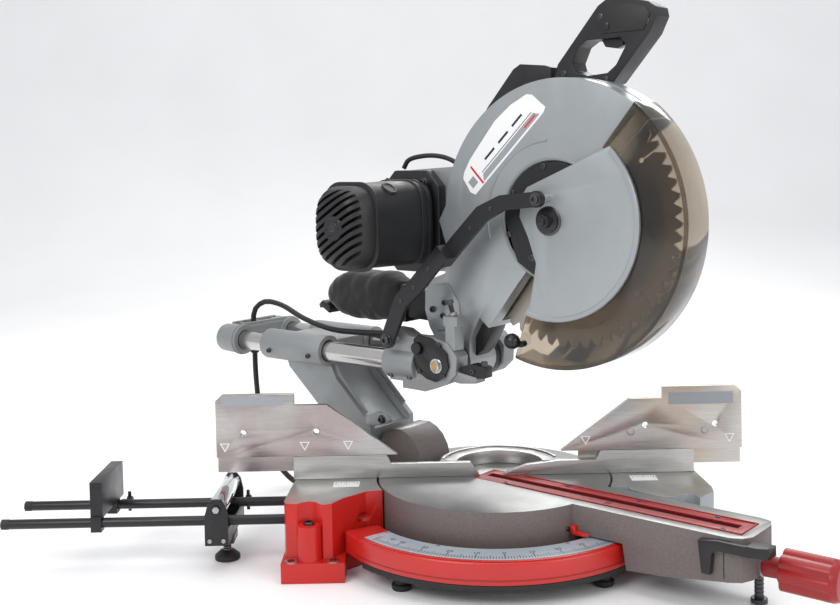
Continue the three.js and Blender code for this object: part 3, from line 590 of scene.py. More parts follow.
# ------------------------------------------------------------------ carried-over CAD nodes
CAD = {  # node: (material, bevel mm, segments)
    "base_left_block": ("red_block", 2.2, 3), "base_right_wing": ("silver_block", 2.0, 3), "base_front_arc": ("red_paint", 2.2, 3),
    # base_pan is given dark steel as painted shade, so that it shows as the black line along the bottom edge of the arc
    "mitre_scale": ("scale_plate", 0.25, 1), "base_pan": ("dark_steel", 1.5, 2), "turntable_bolt": ("zinc", 0.4, 1),
    "fixed_fence": ("machined", 0.8, 2), "left_sliding_fence": ("fence_left_mat", 0.8, 2), "right_sliding_fence": ("fence_right_mat", 0.8, 2),
    "front_extension_rod": ("black_steel", 0.6, 2), "rear_extension_rod": ("black_steel", 0.6, 2), "roller_bracket": ("black_steel", 0.9, 2),
    "support_roller": ("chrome", 0.6, 2), "support_foot": ("rubber", 0.8, 2), "stop_plate": ("black_steel", 0.7, 2),
    "turntable": ("turntable_mat", 1.6, 3), "kerf_insert": ("red_plastic", 0.5, 2), "mitre_pointer": ("red_paint", 0.6, 2),
    "mitre_lock_rod": ("zinc", 0.5, 1), "mitre_lock_knob": ("red_plastic", 1.6, 3), "detent_lever": ("black_plastic", 1.2, 2),
    "arm_foot_screw": ("dark_steel", 0.6, 1), "bevel_pivot_pin": ("zinc", 0.6, 1), "bevel_arm": ("cast_silver", 2.4, 3),
    "near_rail_bush": ("brass", 0.2, 1), "far_rail_bush": ("brass", 0.2, 1), "bevel_lock_lever": ("black_steel", 1.4, 2),
    "near_rail": ("rail_steel", 0.8, 2), "far_rail": ("rail_steel", 0.8, 2), "rear_rail_bracket": ("cast_silver", 1.6, 3),
    "yoke": ("cast_silver", 2.0, 3), "head_pivot_shaft": ("brass", 0.5, 1), "pivot_cap_plate": ("black_satin", 0.9, 2),
    "head_lock_pin": ("black_plastic", 1.4, 3), "guard_link": ("black_steel", 0.9, 2), "head_casting": ("silver_guard", 2.0, 3),
    "bolt_cover": ("black_steel", 0.5, 1), "belt_case": ("cast_silver", 2.0, 3), "belt_cover": ("black_plastic", 1.5, 3),
    "drive_belt": ("rubber", 0.4, 1), "arbor": ("zinc", 0.6, 1), "saw_blade": ("blade_mat", 0.0, 1), "motor_flange": ("black_plastic", 1.6, 3),
    "motor_housing": ("black_plastic", 3.0, 3), "motor_end_cap": ("black_plastic", 3.0, 3), "motor_shaft": ("zinc", 0.5, 1),
    "d_handle": ("black_plastic", 6.5, 5), "carry_handle": ("black_plastic", 5.0, 4), "trigger": ("black_satin", 1.6, 3),
    "dust_spout": ("black_plastic", 1.5, 2), "dust_bag": ("bag_fabric", 0.0, 1), "guard_rim": ("smoke_guard", 0.9, 2),
    "guard_plate": ("silver_guard", 1.2, 3), "guard_bolt": ("black_satin", 0.8, 2), "guard_roller": ("black_satin", 0.0, 1),
    "supply_cable": ("rubber", 0.0, 1), "cord_gland": ("rubber", 0.6, 2), "plug": ("rubber", 1.5, 3),
    "mains_cord": ("rubber", 0.0, 1), "cord_coil": ("rubber", 0.0, 1),
}
for n, (m, bv, sg) in CAD.items():
    finish_obj(N[n], m, None, smooth=34, bevel=bv * mm, seg=sg, weld=True, planar=True)
for n in N:
    if n not in CAD:
        finish_obj(N[n], "cast_silver", None, smooth=34, weld=True, planar=True)

# ------------------------------------------------------------------ camera, floor, light
yaw, pitch, roll = math.radians(-0.2381), math.radians(2.6091), math.radians(-1.2495)
CAMP = PIV + Vector((-0.081647, -1.426489, 0.419693))
fwd = Vector((math.sin(yaw) * math.cos(pitch), math.cos(yaw) * math.cos(pitch), -math.sin(pitch)))
right = Vector((math.cos(yaw), -math.sin(yaw), 0))
up = right.cross(fwd)
r2 = math.cos(roll) * right + math.sin(roll) * up
u2 = -math.sin(roll) * right + math.cos(roll) * up
cam = bpy.data.objects.new("camera", bpy.data.cameras.new("camera"))
bpy.context.scene.collection.objects.link(cam)
cam.matrix_world = Matrix(((r2.x, u2.x, -fwd.x, CAMP.x), (r2.y, u2.y, -fwd.y, CAMP.y), (r2.z, u2.z, -fwd.z, CAMP.z), (0, 0, 0, 1)))
cam.data.sensor_width = 36.0
cam.data.lens = 1119.07 / 840 * 36
cam.data.shift_y = -100 / 840
cam.data.clip_start = 0.05
cam.data.clip_end = 50
bpy.context.scene.camera = cam

bm = bmesh.new()
prof = [(-6, 0.0)] + [(2.2 + 1.6 * math.sin(a * math.pi / 24), 1.6 - 1.6 * math.cos(a * math.pi / 24)) for a in range(13)] + [(3.8, 7)]
for (ya, za), (yb, zb) in zip(prof, prof[1:]):
    bm.faces.new([bm.verts.new(p) for p in ((-9, ya, za), (9, ya, za), (9, yb, zb), (-9, yb, zb))])
bmesh.ops.remove_doubles(bm, verts=bm.verts, dist=1e-5)
bm.transform(Matrix.Translation((0, 0, -0.0004)))
me = bpy.data.meshes.new("floor"); bm.to_mesh(me); bm.free()
fl = bpy.data.objects.new("floor", me); bpy.context.scene.collection.objects.link(fl)
fl.data.materials.append(MATS["floor_mat"])
for p in fl.data.polygons: p.use_smooth = True

def area(name, loc, target, size, power, col=(1, 1, 1)):
    d = bpy.data.lights.new(name, 'AREA'); d.shape = 'RECTANGLE'; d.size, d.size_y = size; d.energy = power; d.color = col
    o = bpy.data.objects.new(name, d); bpy.context.scene.collection.objects.link(o)
    o.location = loc
    o.rotation_euler = (Vector(target) - Vector(loc)).to_track_quat('-Z', 'Y').to_euler()
    return o
area("key", (-1.6, -2.2, 2.3), (0, 0, 0.3), (1.8, 1.4), 50)
area("fill", (2.3, -1.9, 1.5), (0.1, 0, 0.3), (1.6, 1.6), 24)
area("top", (0.1, 0.3, 2.7), (0, 0, 0.2), (2.2, 2.2), 30)
area("rim", (0.8, 2.2, 1.8), (0, 0, 0.4), (2.0, 0.9), 26)
w = bpy.data.worlds.new("studio"); bpy.context.scene.world = w; w.use_nodes = True
w.node_tree.nodes["Background"].inputs[0].default_value = (0.95, 0.96, 1.0, 1)
w.node_tree.nodes["Background"].inputs[1].default_value = 0.70
bpy.context.scene.view_settings.view_transform = 'Standard'
bpy.context.scene.view_settings.look = 'None'
bpy.context.scene.view_settings.exposure = 0.0

# ------------------------------------------------------------------ mains cord, first because its solids may have to move
RUBBER_CORD = [(-14, 440, 118), (-14, 440, 104), (-14, 439, 80), (-12, 437, 40), (-8, 433, 0), (0, 425, -36), (10, 412, -64), (18, 394, -80.5), (23.5, 372, -85.6), (29.2, 341.8, -85.7)]

def catmull(P, step=4.0):
    P = [Vector(p) for p in P]
    out = []
    for i in range(len(P) - 1):
        p0 = P[max(i - 1, 0)]; p1 = P[i]; p2 = P[i + 1]; p3 = P[min(i + 2, len(P) - 1)]
        n = max(2, int((p2 - p1).length / step))
        def tj(a, b): return max(1e-4, (b - a).length ** 0.5)
        t0 = 0; t1 = t0 + (tj(p0, p1) if i > 0 else tj(p1, p2)); t2 = t1 + tj(p1, p2); t3 = t2 + (tj(p2, p3) if i + 2 < len(P) else tj(p1, p2))
        q0 = p0 if i > 0 else p1 * 2 - p2
        q3 = p3 if i + 2 < len(P) else p2 * 2 - p1
        for k in range(n):
            t = t1 + (t2 - t1) * k / n
            A1 = q0 * ((t1 - t) / (t1 - t0)) + p1 * ((t - t0) / (t1 - t0))
            A2 = p1 * ((t2 - t) / (t2 - t1)) + p2 * ((t - t1) / (t2 - t1))
            A3 = p2 * ((t3 - t) / (t3 - t2)) + q3 * ((t - t2) / (t3 - t2))
            B1 = A1 * ((t2 - t) / (t2 - t0)) + A2 * ((t - t0) / (t2 - t0))
            B2 = A2 * ((t3 - t) / (t3 - t1)) + A3 * ((t - t1) / (t3 - t1))
            out.append(B1 * ((t2 - t) / (t2 - t1)) + B2 * ((t - t1) / (t2 - t1)))
    out.append(P[-1])
    return out

def sstep(a, b, t):
    t = max(0.0, min(1.0, (t - a) / (b - a)))
    return t * t * (3 - 2 * t)

def coil_point(th):
    r = 57.9 - 8.5 * sstep(153.5, 200, th) - 8.4 * sstep(520, 560, th) + 8.4 * sstep(1160, 1200, th)
    z = -85.7 + 8.1 * sstep(840, 880, th) + 8.05 * sstep(1480, 1520, th)
    a = math.radians(th)
    return Vector((81 + r * math.cos(a), 316 + r * math.sin(a), z))

line = catmull(RUBBER_CORD, 4.0)
th = 153.5 + 4.0
while th < 1800:
    line.append(coil_point(th)); th += 5.0
line.append(coil_point(1800))
for k in range(1, 13):
    a = math.radians(180 - 90 * k / 12)
    line.append(Vector((130.4 + 33 + 33 * math.cos(a), 316 + 33 * math.sin(a), -69.55 - 1.45 * k / 12)))
line.append(Vector((167.8, 349, -71)))
cu = bpy.data.curves.new("mains_lead", 'CURVE'); cu.dimensions = '3D'
sp = cu.splines.new('POLY'); sp.points.add(len(line) - 1)
for i, p in enumerate(line):
    sp.points[i].co = (*ML(*p), 1)
cu.bevel_depth = 0.004; cu.bevel_resolution = 4; cu.use_fill_caps = True
lead = bpy.data.objects.new("mains_lead", cu); bpy.context.scene.collection.objects.link(lead)
lead.data.materials.append(MATS["rubber"])
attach(lead, "carriage"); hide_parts("mains_cord", "cord_coil")
# ribs of the strain relief
bm = bmesh.new()
for k in range(4):
    z0 = 121.5 + k * 4.2; r0 = 6.9 + k * 0.75
    turned(bm, [(r0 - 1.5, z0 - 1.1), (r0 + 0.6, z0 - 1.0), (r0 + 0.9, z0), (r0 + 0.6, z0 + 1.0), (r0 - 1.5, z0 + 1.1)], MIT @ Matrix.Translation((-0.014, 0.440, 0)), 24)
relief = new_obj("strain_relief_ribs", bm, "rubber", "carriage", smooth=40, slot="rubber")

# ------------------------------------------------------------------ helpers in the two frames
def mp(name, bm, mat, body, **k):
    return new_obj(name, bm, mat, body, M=MIT, **k)
def bp(name, bm, mat, body, **k):
    return new_obj(name, bm, mat, body, M=BAS, **k)
def mdir(x, y, z):
    return RZ @ Vector((x, y, z))
def circ(cy, cz, r, a0=0, a1=360, n=32):
    return [(cy + r * math.cos(math.radians(a0 + (a1 - a0) * i / n)), cz + r * math.sin(math.radians(a0 + (a1 - a0) * i / n))) for i in range(n + 1)]
BC = (-114, 334)
def pol(r, a):
    return (BC[0] - r * math.cos(math.radians(a)), BC[1] + r * math.sin(math.radians(a)))

def tube(name, pts, r, mat, body, M=None, res=6, slot=None, step=3.0):
    """a round lead along a smooth line, made as a mesh"""
    P = [Vector(p) * mm for p in catmull(pts, step)]
    bm = bmesh.new(); rings = []; seg = 12
    up0 = Vector((0, 0, 1))
    t0 = (P[1] - P[0]).normalized()
    if abs(t0.dot(up0)) > 0.9: up0 = Vector((1, 0, 0))
    nrm = (up0 - t0 * up0.dot(t0)).normalized()
    for i, p in enumerate(P):
        t = ((P[min(i + 1, len(P) - 1)] - P[max(i - 1, 0)])).normalized()
        nrm = (nrm - t * nrm.dot(t)).normalized(); bi = t.cross(nrm)
        rings.append([bm.verts.new(p + (nrm * math.cos(2 * math.pi * k / seg) + bi * math.sin(2 * math.pi * k / seg)) * r * mm) for k in range(seg)])
    for A, B in zip(rings, rings[1:]):
        for k in range(seg):
            bm.faces.new((A[k], A[(k + 1) % seg], B[(k + 1) % seg], B[k]))
    bm.faces.new(rings[0][::-1]); bm.faces.new(rings[-1])
    return new_obj(name, bm, mat, body, M=M, smooth=40, slot=slot)

# ------------------------------------------------------------------ mitre scale: ticks, figures, coloured dot
bm = bmesh.new()
ZS = -36.1
for d in range(-50, 51):
    a = math.radians(270 + d)
    r1 = 197.5; L = 13 if d % 10 == 0 else (10 if d % 5 == 0 else 7)
    w = 0.55 if d % 10 == 0 else 0.40
    ca, sa = math.cos(a), math.sin(a)
    pts = [((r1 - q) * ca - k * sa, (r1 - q) * sa + k * ca) for q, k in ((0, -w), (0, w), (L, w), (L, -w))]
    q = prism_xy(pts, ZS - 0.05, ZS + 0.12); me = bpy.data.meshes.new("t"); q.to_mesh(me); q.free(); bm.from_mesh(me); bpy.data.meshes.remove(me)
bp("scale_ticks", bm, "dark_ink", "base", smooth=0, slot="scale_plate")

def figure(name, txt, size, M, mat, body, slot, depth=0.00006):
    c = bpy.data.curves.new(name, 'FONT'); c.body = txt; c.size = size; c.align_x = 'CENTER'; c.align_y = 'CENTER'; c.extrude = depth; c.resolution_u = 3
    t = bpy.data.objects.new(name + "_c", c); bpy.context.scene.collection.objects.link(t)
    me = bpy.data.meshes.new_from_object(t)
    bpy.data.objects.remove(t); bpy.data.curves.remove(c)
    me.transform(M); me.name = name
    o = bpy.data.objects.new(name, me); bpy.context.scene.collection.objects.link(o)
    return finish_obj(o, mat, body, smooth=0, slot=slot)
figs = []
for d in (-45, -40, -30, -20, -10, 0, 10, 20, 30, 40, 45):
    a = math.radians(270 + d)
    M = BAS @ Matrix.Translation(((180.5 * math.cos(a)) * mm, (180.5 * math.sin(a)) * mm, (ZS + 0.03) * mm)) @ Matrix.Rotation(a + math.pi / 2, 4, 'Z')
    figs.append(figure("scale_figure_%d" % (d + 50), str(abs(d)), 0.0085, M, "dark_ink", "base", "scale_plate"))
bm = bmesh.new(); turned(bm, [(0, ZS - 0.05), (4.2, ZS - 0.05), (4.2, ZS + 0.14), (0, ZS + 0.14)], BAS @ Matrix.Translation((168 * mm * math.cos(math.radians(318.5)) + 0.006, 168 * mm * math.sin(math.radians(318.5)) - 0.008, 0)), 24)
new_obj("scale_dot", bm, "blue_ink", "base", slot="scale_plate")
# rivets of the scale and a moulded groove round the arc; below the arc a black strip of painted shade along its bottom
# edge
for k, d in enumerate((217.5, 244, 296, 319.5)):
    a = math.radians(d)
    screw("scale_rivet_%d" % k, "base", BL(171 * math.cos(a), 171 * math.sin(a), ZS), (0, 0, 1), 2.0, 0.9, "socket", "zinc")
bm = bmesh.new()
def arcband(bm, r0, r1, a0, a1, z0, z1, n=64):
    vs = []
    for i in range(n + 1):
        a = math.radians(a0 + (a1 - a0) * i / n); c, s = math.cos(a), math.sin(a)
        vs.append([bm.verts.new((r * c * mm, r * s * mm, z * mm)) for r, z in ((r0, z0), (r1, z0), (r1, z1), (r0, z1))])
    for A, B in zip(vs, vs[1:]):
        for k in range(4):
            bm.faces.new((A[k], A[(k + 1) % 4], B[(k + 1) % 4], B[k]))
    bm.faces.new(vs[0]); bm.faces.new(vs[-1][::-1])
# black rubber-coloured band under the arc skirt: painted shade along the bottom edge of the arc
arcband(bm, 172, 206.4, 217, 318, -71, -64.2)
bp("arc_shade_strip", bm, "rubber", "base", smooth=40, bevel=0.8 * mm, slot="red_paint")
bm = bmesh.new(); arcband(bm, 201.2, 204.6, 212.5, 322.5, -37.7, -36.2)
bp("arc_lip", bm, "red_paint", "base", smooth=40, bevel=0.5 * mm, slot="red_paint")
bm = bmesh.new(); arcband(bm, 207.2, 208.0, 214, 320, -58.6, -57.2)
bp("arc_line", bm, "red_plastic", "base", smooth=40, slot="red_paint")
for k, x in enumerate((-118, 118)):
    bm = bmesh.new(); turned(bm, [(0, -90), (11, -90), (12, -88), (12, -84), (9, -82), (9, -71.2), (0, -71.2)], BAS @ Matrix.Translation((x * mm, -0.140, 0)), 32)
    new_obj("rubber_pad_%d" % k, bm, "rubber", "base", slot="red_paint")

# ------------------------------------------------------------------ side blocks
for k, (x, y) in enumerate(((-250, -112), (-200, -112), (252, -112), (221, -113))):
    bm = bmesh.new(); turned(bm, [(4.6, -66.0), (8.5, -66.0), (8.5, -65.2), (7.6, -64.9), (4.6, -64.9)], BAS @ Matrix.Translation((x * mm, y * mm, 0)), 28)
    new_obj("bench_hole_washer_%d" % k, bm, "zinc", "base", slot="bright_steel")
for k, (x, y) in enumerate(((-229, -103), (229, -104))):
    screw("boss_screw_%d" % k, "base", BL(x, y, -24), (0, 0, 1), 6.5, 3.2, "socket", "dark_steel")
for k, (x0, x1, y0, y1) in enumerate(((-205, -172, -36, -14), (172, 205, -34, -12))):
    bm = prism_xy([(x0, y0), (x1, y0), (x1, y1), (x0, y1)], -0.02, 0.16)
    bp("stop_label_%d" % k, bm, "white_label", "base", smooth=0, slot="scale_plate")
    bm = bmesh.new()
    for j in range(9):
        xx = x0 + 3 + j * (x1 - x0 - 6) / 8; L = 9 if j % 4 == 0 else 5
        q = prism_xy([(xx - 0.3, y1 - 2 - L), (xx + 0.3, y1 - 2 - L), (xx + 0.3, y1 - 2), (xx - 0.3, y1 - 2)], 0.12, 0.24)
        me = bpy.data.meshes.new("t"); q.to_mesh(me); q.free(); bm.from_mesh(me); bpy.data.meshes.remove(me)
    bp("stop_label_ticks_%d" % k, bm, "dark_ink", "base", smooth=0, slot="scale_plate")

# ------------------------------------------------------------------ fences: plain labels, marks, screws, clamp knobs behind
def fplate(name, pts, y0, y1, mat, body, slot="machined_aluminium", bevel=0):
    return bp(name, prism_xz(pts, y0, y1), mat, body, smooth=0 if not bevel else 35, bevel=bevel, slot=slot)
fplate("left_label", [(-349, 97.5), (-270, 97.5), (-270, 108.5), (-349, 108.5)], -0.16, 0.02, "grey_label", "left_fence")
fplate("right_label", [(226, 88), (309, 88), (309, 103.5), (226, 103.5)], -0.16, 0.02, "grey_label", "right_fence")
for nm, X, body in (("l1", -346, "left_fence"), ("l2", -243, "left_fence"), ("l3", -187, "left_fence"), ("r1", 119, "right_fence"), ("r2", 304, "right_fence")):
    Z = 44
    fplate("mark_" + nm, [(X - 6.5, Z + 5), (X, Z - 6.5), (X + 6.5, Z + 5)], -0.14, 0.02, "white_label", body)
    fplate("mark_in_" + nm, [(X - 4.6, Z + 4), (X, Z - 4.2), (X + 4.6, Z + 4)], -0.22, -0.1, "fence_left_mat" if body == "left_fence" else "fence_right_mat", body)
for k, (X, Z, body) in enumerate(((-322, 62, "left_fence"), (-228, 62, "left_fence"), (177.5, 54, "right_fence"), (273, 54, "right_fence"))):
    bm = bmesh.new(); turned(bm, [(4.0, 0.1), (5.6, 0.1), (5.6, -0.45), (4.9, -0.7), (4.0, -0.7)], BAS @ Matrix.Translation((X * mm, 0, Z * mm)) @ Matrix.Rotation(-math.pi / 2, 4, 'X'), 28)
    new_obj("fence_eyelet_%d" % k, bm, "zinc", body, slot="machined_aluminium")
for k, (X, body) in enumerate(((-292, "left_fence"), (-196, "left_fence"), (196, "right_fence"), (292, "right_fence"))):
    bm = bmesh.new(); M = BAS @ Matrix.Translation((X * mm, 18.2 * mm, 26 * mm)) @ Matrix.Rotation(-math.pi / 2, 4, 'X')
    turned(bm, [(0, 0), (4, 0), (4, 7), (9, 8), (11, 11), (11, 20), (9, 22), (0, 22)], M, 24)
    new_obj("fence_knob_%d" % k, bm, "black_plastic", body, bevel=0.6 * mm, slot="black_plastic")
for k, (X, Z) in enumerate(((-248, 15), (-150, 9), (150, 9), (248, 15))):
    screw("fence_bolt_%d" % k, "base", BL(X, 9.0, Z), (0, 1, 0), 5, 4, "hex", "zinc", washer=7)
# raised lip on the arch between the fences
bm = bmesh.new()
def ringband(bm, cx, cy, r0, r1, a0, a1, z0, z1, n=40):
    vs = []
    for i in range(n + 1):
        a = math.radians(a0 + (a1 - a0) * i / n); c, s = math.cos(a), math.sin(a)
        vs.append([bm.verts.new(((cx + r * c) * mm, (cy + r * s) * mm, z * mm)) for r, z in ((r0, z0), (r1, z0), (r1, z1), (r0, z1))])
    for A, B in zip(vs, vs[1:]):
        for k in range(4):
            bm.faces.new((A[k], A[(k + 1) % 4], B[(k + 1) % 4], B[k]))
    bm.faces.new(vs[0]); bm.faces.new(vs[-1][::-1])
ringband(bm, 8, 2, 73.5, 77.6, 14, 166, 17.4, 19.2)
bp("arch_lip", bm, "machined", "base", smooth=40, bevel=0.5 * mm, slot="machined_aluminium")

# ------------------------------------------------------------------ turntable: insert screws, pointer screw, recess lines, end plate
for k, (x, y) in enumerate(((18, -300), (18, -200), (18, -100), (18, -10), (-16, -322), (-16, -176), (-16, -30))):
    screw("insert_screw_%d" % k, "turntable", ML(x, y, 0.0), (0, 0, 1), 3.0, 0.9, "socket", "dark_steel")
for k, (x0, x1) in enumerate(((-21.2, -19.6), (21.6, 23.2))):
    mp("insert_lip_%d" % k, prism_xy([(x0, -346), (x1, -346), (x1, -33), (x0, -33)], -0.4, 1.3), "red_plastic", "turntable", bevel=0.5 * mm, slot="red_plastic")
    mp("insert_edge_%d" % k, prism_xy([(x0, -33), (x1, -33), (x1, 16), (x0, 16)], -0.4, 0.12), "red_plastic", "turntable", slot="red_plastic")
mp("insert_lip_front", prism_xy([(-21.2, -346.2), (23.2, -346.2), (23.2, -344.4), (-21.2, -344.4)], -0.4, 1.3), "red_plastic", "turntable", bevel=0.5 * mm, slot="red_plastic")
for k, y in enumerate((-176, -172)):
    mp("insert_step_%d" % k, prism_xy([(-21, y - 1), (-5, y - 1), (-5, y + 1), (-21, y + 1)], -0.4, 0.9), "red_plastic", "turntable", bevel=0.4 * mm, slot="red_plastic")
screw("pointer_screw", "turntable", ML(-44.0, -139, -28), mdir(-1, 0, 0), 3.6, 3.0, "socket", "dark_steel", washer=5)
mp("arm_end_seam", prism_yz([(-334, -8), (-332.6, -8), (-332.6, -46), (-334, -46)], -38.25, -37.7), "dark_ink", "turntable", slot="taupe_paint")
bm = bmesh.new(); turned(bm, [(6.4, 0), (13, 0), (13, 2.2), (11.5, 3.2), (6.4, 3.2)], MIT @ Matrix.Translation((4 * mm, -359 * mm, -37 * mm)) @ Matrix.Rotation(math.pi / 2, 4, 'X'), 36)
new_obj("knob_bush", bm, "zinc", "turntable", slot="bright_steel")
bm = bmesh.new(); turned(bm, [(0, -90), (8.6, -90), (9.4, -89), (9.4, -85.4), (8.6, -84.6), (0, -84.6)], MIT @ Matrix.Translation((28 * mm, -344 * mm, 0)), 36)
for k in range(7):
    z = -83.0 + k * 4.6
    turned(bm, [(4.6, z), (5.5, z + 0.7), (4.6, z + 1.4)], MIT @ Matrix.Translation((28 * mm, -344 * mm, 0)), 24)
new_obj("arm_foot_rings", bm, "dark_steel", "turntable", slot="black_steel")
# bevel quadrant scale at the back of the turntable
bm = bmesh.new()
for i in range(0, 46, 5):
    a = math.radians(90 + i - 22); r = 40
    M = MIT @ Matrix.Translation((r * math.cos(a) * mm, 206.15 * mm, r * math.sin(a) * mm)) @ Matrix.Rotation(-(a - math.pi / 2), 4, 'Y')
    for v in ((-0.3, -0.1), (0.3, -0.1)):
        pass
    L = 5 if i % 15 == 0 else 3
    P = [M @ Vector((sx * 0.3 * mm, 0, sz * mm)) for sx, sz in ((-1, 0), (1, 0), (1, L), (-1, L))]
    bm.faces.new([bm.verts.new(p) for p in P])
new_obj("bevel_ticks", bm, "dark_ink", "bevel_arm", smooth=0, slot="silver_paint")

# ------------------------------------------------------------------ bevel arm: ribs, screws, clamp plates
for k, (x, y) in enumerate(((-62, 300), (62, 300))):
    s = -1 if x < 0 else 1
    for j, yy in enumerate((266, 346)):
        screw("sleeve_screw_%d_%d" % (k, j), "bevel_arm", ML(s * (48 + 21.3), yy, 139), mdir(s, 0, 0), 3.4, 3, "socket", "dark_steel")
screw("slide_lock_stem", "bevel_arm", ML(69.3, 306, 145), mdir(1, 0, 0), 5, 9, "hex", "zinc")
bm = bmesh.new(); turned(bm, [(0, 9), (9, 9), (13, 12), (13, 25), (10, 29), (0, 29)], axis_matrix(ML(69.3, 306, 145), mdir(1, 0, 0)), 10)
new_obj("slide_lock_knob", bm, "black_plastic", "bevel_arm", bevel=0.8 * mm, slot="black_plastic")
for k, (y, z) in enumerate(((188, 24), (188, -26))):
    screw("arm_side_screw_%d" % k, "bevel_arm", ML(-46.0 if z > 0 else -40, y, z), mdir(-1, 0, 0), 4, 2.5, "socket", "dark_steel") if z > 0 else None
for k in range(2):
    x = -41 if k == 0 else 38
    bm = prism_yz([(183, 66), (186, 63), (239, 110), (246, 126), (241, 127), (234, 114)], x, x + 3)
    mp("arm_bead_%d" % k, bm, "cast_silver", "bevel_arm", bevel=0.9 * mm, slot="silver_paint")

mp("clamp_lug", prism_yz([(174, 52), (176, 64), (156, 72), (138, 72), (132, 66), (134, 59), (144, 57), (160, 52)], -53, -44), "cast_silver", "bevel_arm", bevel=1.8 * mm, slot="silver_paint")
screw("clamp_lug_screw", "bevel_arm", ML(-53, 144, 64), mdir(-1, 0, 0), 4.2, 4.0, "socket", "dark_steel", washer=6)
# ------------------------------------------------------------------ rear bracket: end caps, collars, ribs
for s in (-1, 1):
    bm = bmesh.new(); turned(bm, [(0, 0), (18.4, 0), (19.6, 0.8), (19.6, 2.0), (17.6, 3.2), (15.5, 3.4), (15.0, 2.6), (4, 2.6), (3.4, 3.4), (0, 3.4)], axis_matrix(ML(s * 48, 463, 145), mdir(0, 1, 0)), 40)
    new_obj("rail_end_cap_%d" % (s + 1), bm, "cast_silver", "carriage", slot="silver_paint")
    bm = bmesh.new(); turned(bm, [(21.5, 0.2), (22.9, 0.6), (22.9, 3.4), (21.5, 3.9)], axis_matrix(ML(s * 48, 426, 145), mdir(0, 1, 0)), 40)
    new_obj("bracket_collar_%d" % (s + 1), bm, "cast_silver", "carriage", slot="silver_paint")
for k, x in enumerate((-31, -1, 31)):
    mp("bracket_rib_%d" % k, prism_yz([(431.6, 162.6), (453.6, 162.6), (453.6, 167.0), (442, 165.4), (431.6, 167.0)], x - 1.8, x + 1.8), "cast_silver", "carriage", bevel=0.7 * mm, slot="silver_paint")

# ------------------------------------------------------------------ yoke: clamp screws, stop bolt, cap plate screws, pivot nut, brackets
for k, (y, s) in enumerate(((86, -1), (118, -1), (86, 1), (118, 1))):
    screw("clamp_screw_%d" % k, "carriage", ML(s * 62, y, 129.5), mdir(s * 0.35, 0, -0.94), 3.8, 3.6, "socket", "dark_steel")
for k, (y, z) in enumerate(((33, 177), (27, 137), (66, 139))):
    screw("cap_screw_%d" % k, "carriage", ML(-66.0, y, z), mdir(-1, 0, 0), 2.9, 1.8, "socket", "dark_steel")
screw("pivot_nut", "carriage", ML(-66.0, 38, 149), mdir(-1, 0, 0), 7.5, 3.2, "hex", "bright_steel", washer=9.5)
bm = bmesh.new(); M = axis_matrix(ML(-50, 21, 211), mdir(0, 0.32, 0.95))
turned(bm, [(0, 0), (2.9, 0), (2.9, 17), (0, 17)], M, 20)
for k in range(6):
    turned(bm, [(2.7, 5 + k * 1.6), (3.4, 5.7 + k * 1.6), (2.7, 6.4 + k * 1.6)], M, 20)
new_obj("stop_bolt", bm, "dark_steel", "carriage", slot="black_steel")
screw("stop_bolt_head", "carriage", ML(-50, 26.4, 227.1), mdir(0, 0.32, 0.95), 4.8, 4.4, "socket", "dark_steel")
screw("stop_bolt_nut", "carriage", ML(-50, 21.6, 212), mdir(0, 0.32, 0.95), 5.6, 4.2, "hex", "zinc")
screw("yoke_screw_a", "carriage", ML(-62.0, 112, 152), mdir(-1, 0, 0), 0.01, 0.01, "hex", "zinc") if False else None
mp("depth_stop_block", prism_yz([(-32, 139), (-32, 153), (-10, 155), (6, 150), (8, 141), (-4, 137)], -58, -41), "black_plastic", "carriage", bevel=1.4 * mm, slot="black_plastic")
mp("depth_stop_bracket", prism_yz([(-20, 132), (-20, 139.5), (12, 144), (26, 141), (22, 131), (6, 129)], -60, -40), "cast_silver", "carriage", bevel=1.2 * mm, slot="silver_paint")
screw("depth_stop_screw", "carriage", ML(-50, -26, 153.4), (0, 0, 1), 4.4, 5.2, "socket", "dark_steel")
screw("depth_stop_side", "carriage", ML(-58, -14, 146), mdir(-1, 0, 0), 3.2, 2.4, "socket", "dark_steel")
# spring cover round the pivot, between the arm and the far ear
bm = bmesh.new(); turned(bm, [(9.5, 27.6), (24, 27.6), (25.5, 28.6), (25.5, 37.6), (24, 38.6), (9.5, 38.6)], axis_matrix(ML(0, 38, 149), mdir(1, 0, 0)), 40)
new_obj("spring_cover_far", bm, "black_plastic", "carriage", slot="black_plastic")
bm = bmesh.new(); turned(bm, [(9.5, 27.6), (25.5, 27.8), (25.5, 37.8), (9.5, 38.6)], axis_matrix(ML(0, 38, 149), mdir(-1, 0, 0)), 40)
new_obj("spring_cover_near", bm, "black_plastic", "carriage", slot="black_plastic")

# ------------------------------------------------------------------ guard link: rivets, pins
for k, (y, z, x) in enumerate(((84, 230, -79), (62, 249, -79), (38, 273, -79), (-16, 325, -62), (-48, 349, -62))):
    screw("link_rivet_%d" % k, "link", ML(x, y, z), mdir(-1, 0, 0), 2.6, 1.0, "socket", "dark_steel")
screw("link_pin_low", "link", ML(-79, 110, 177), mdir(-1, 0, 0), 6.2, 3.4, "socket", "dark_steel", washer=8.5)
screw("link_pin_up", "link", ML(-62, -114, 361), mdir(-1, 0, 0), 5.4, 2.6, "socket", "dark_steel", washer=8)

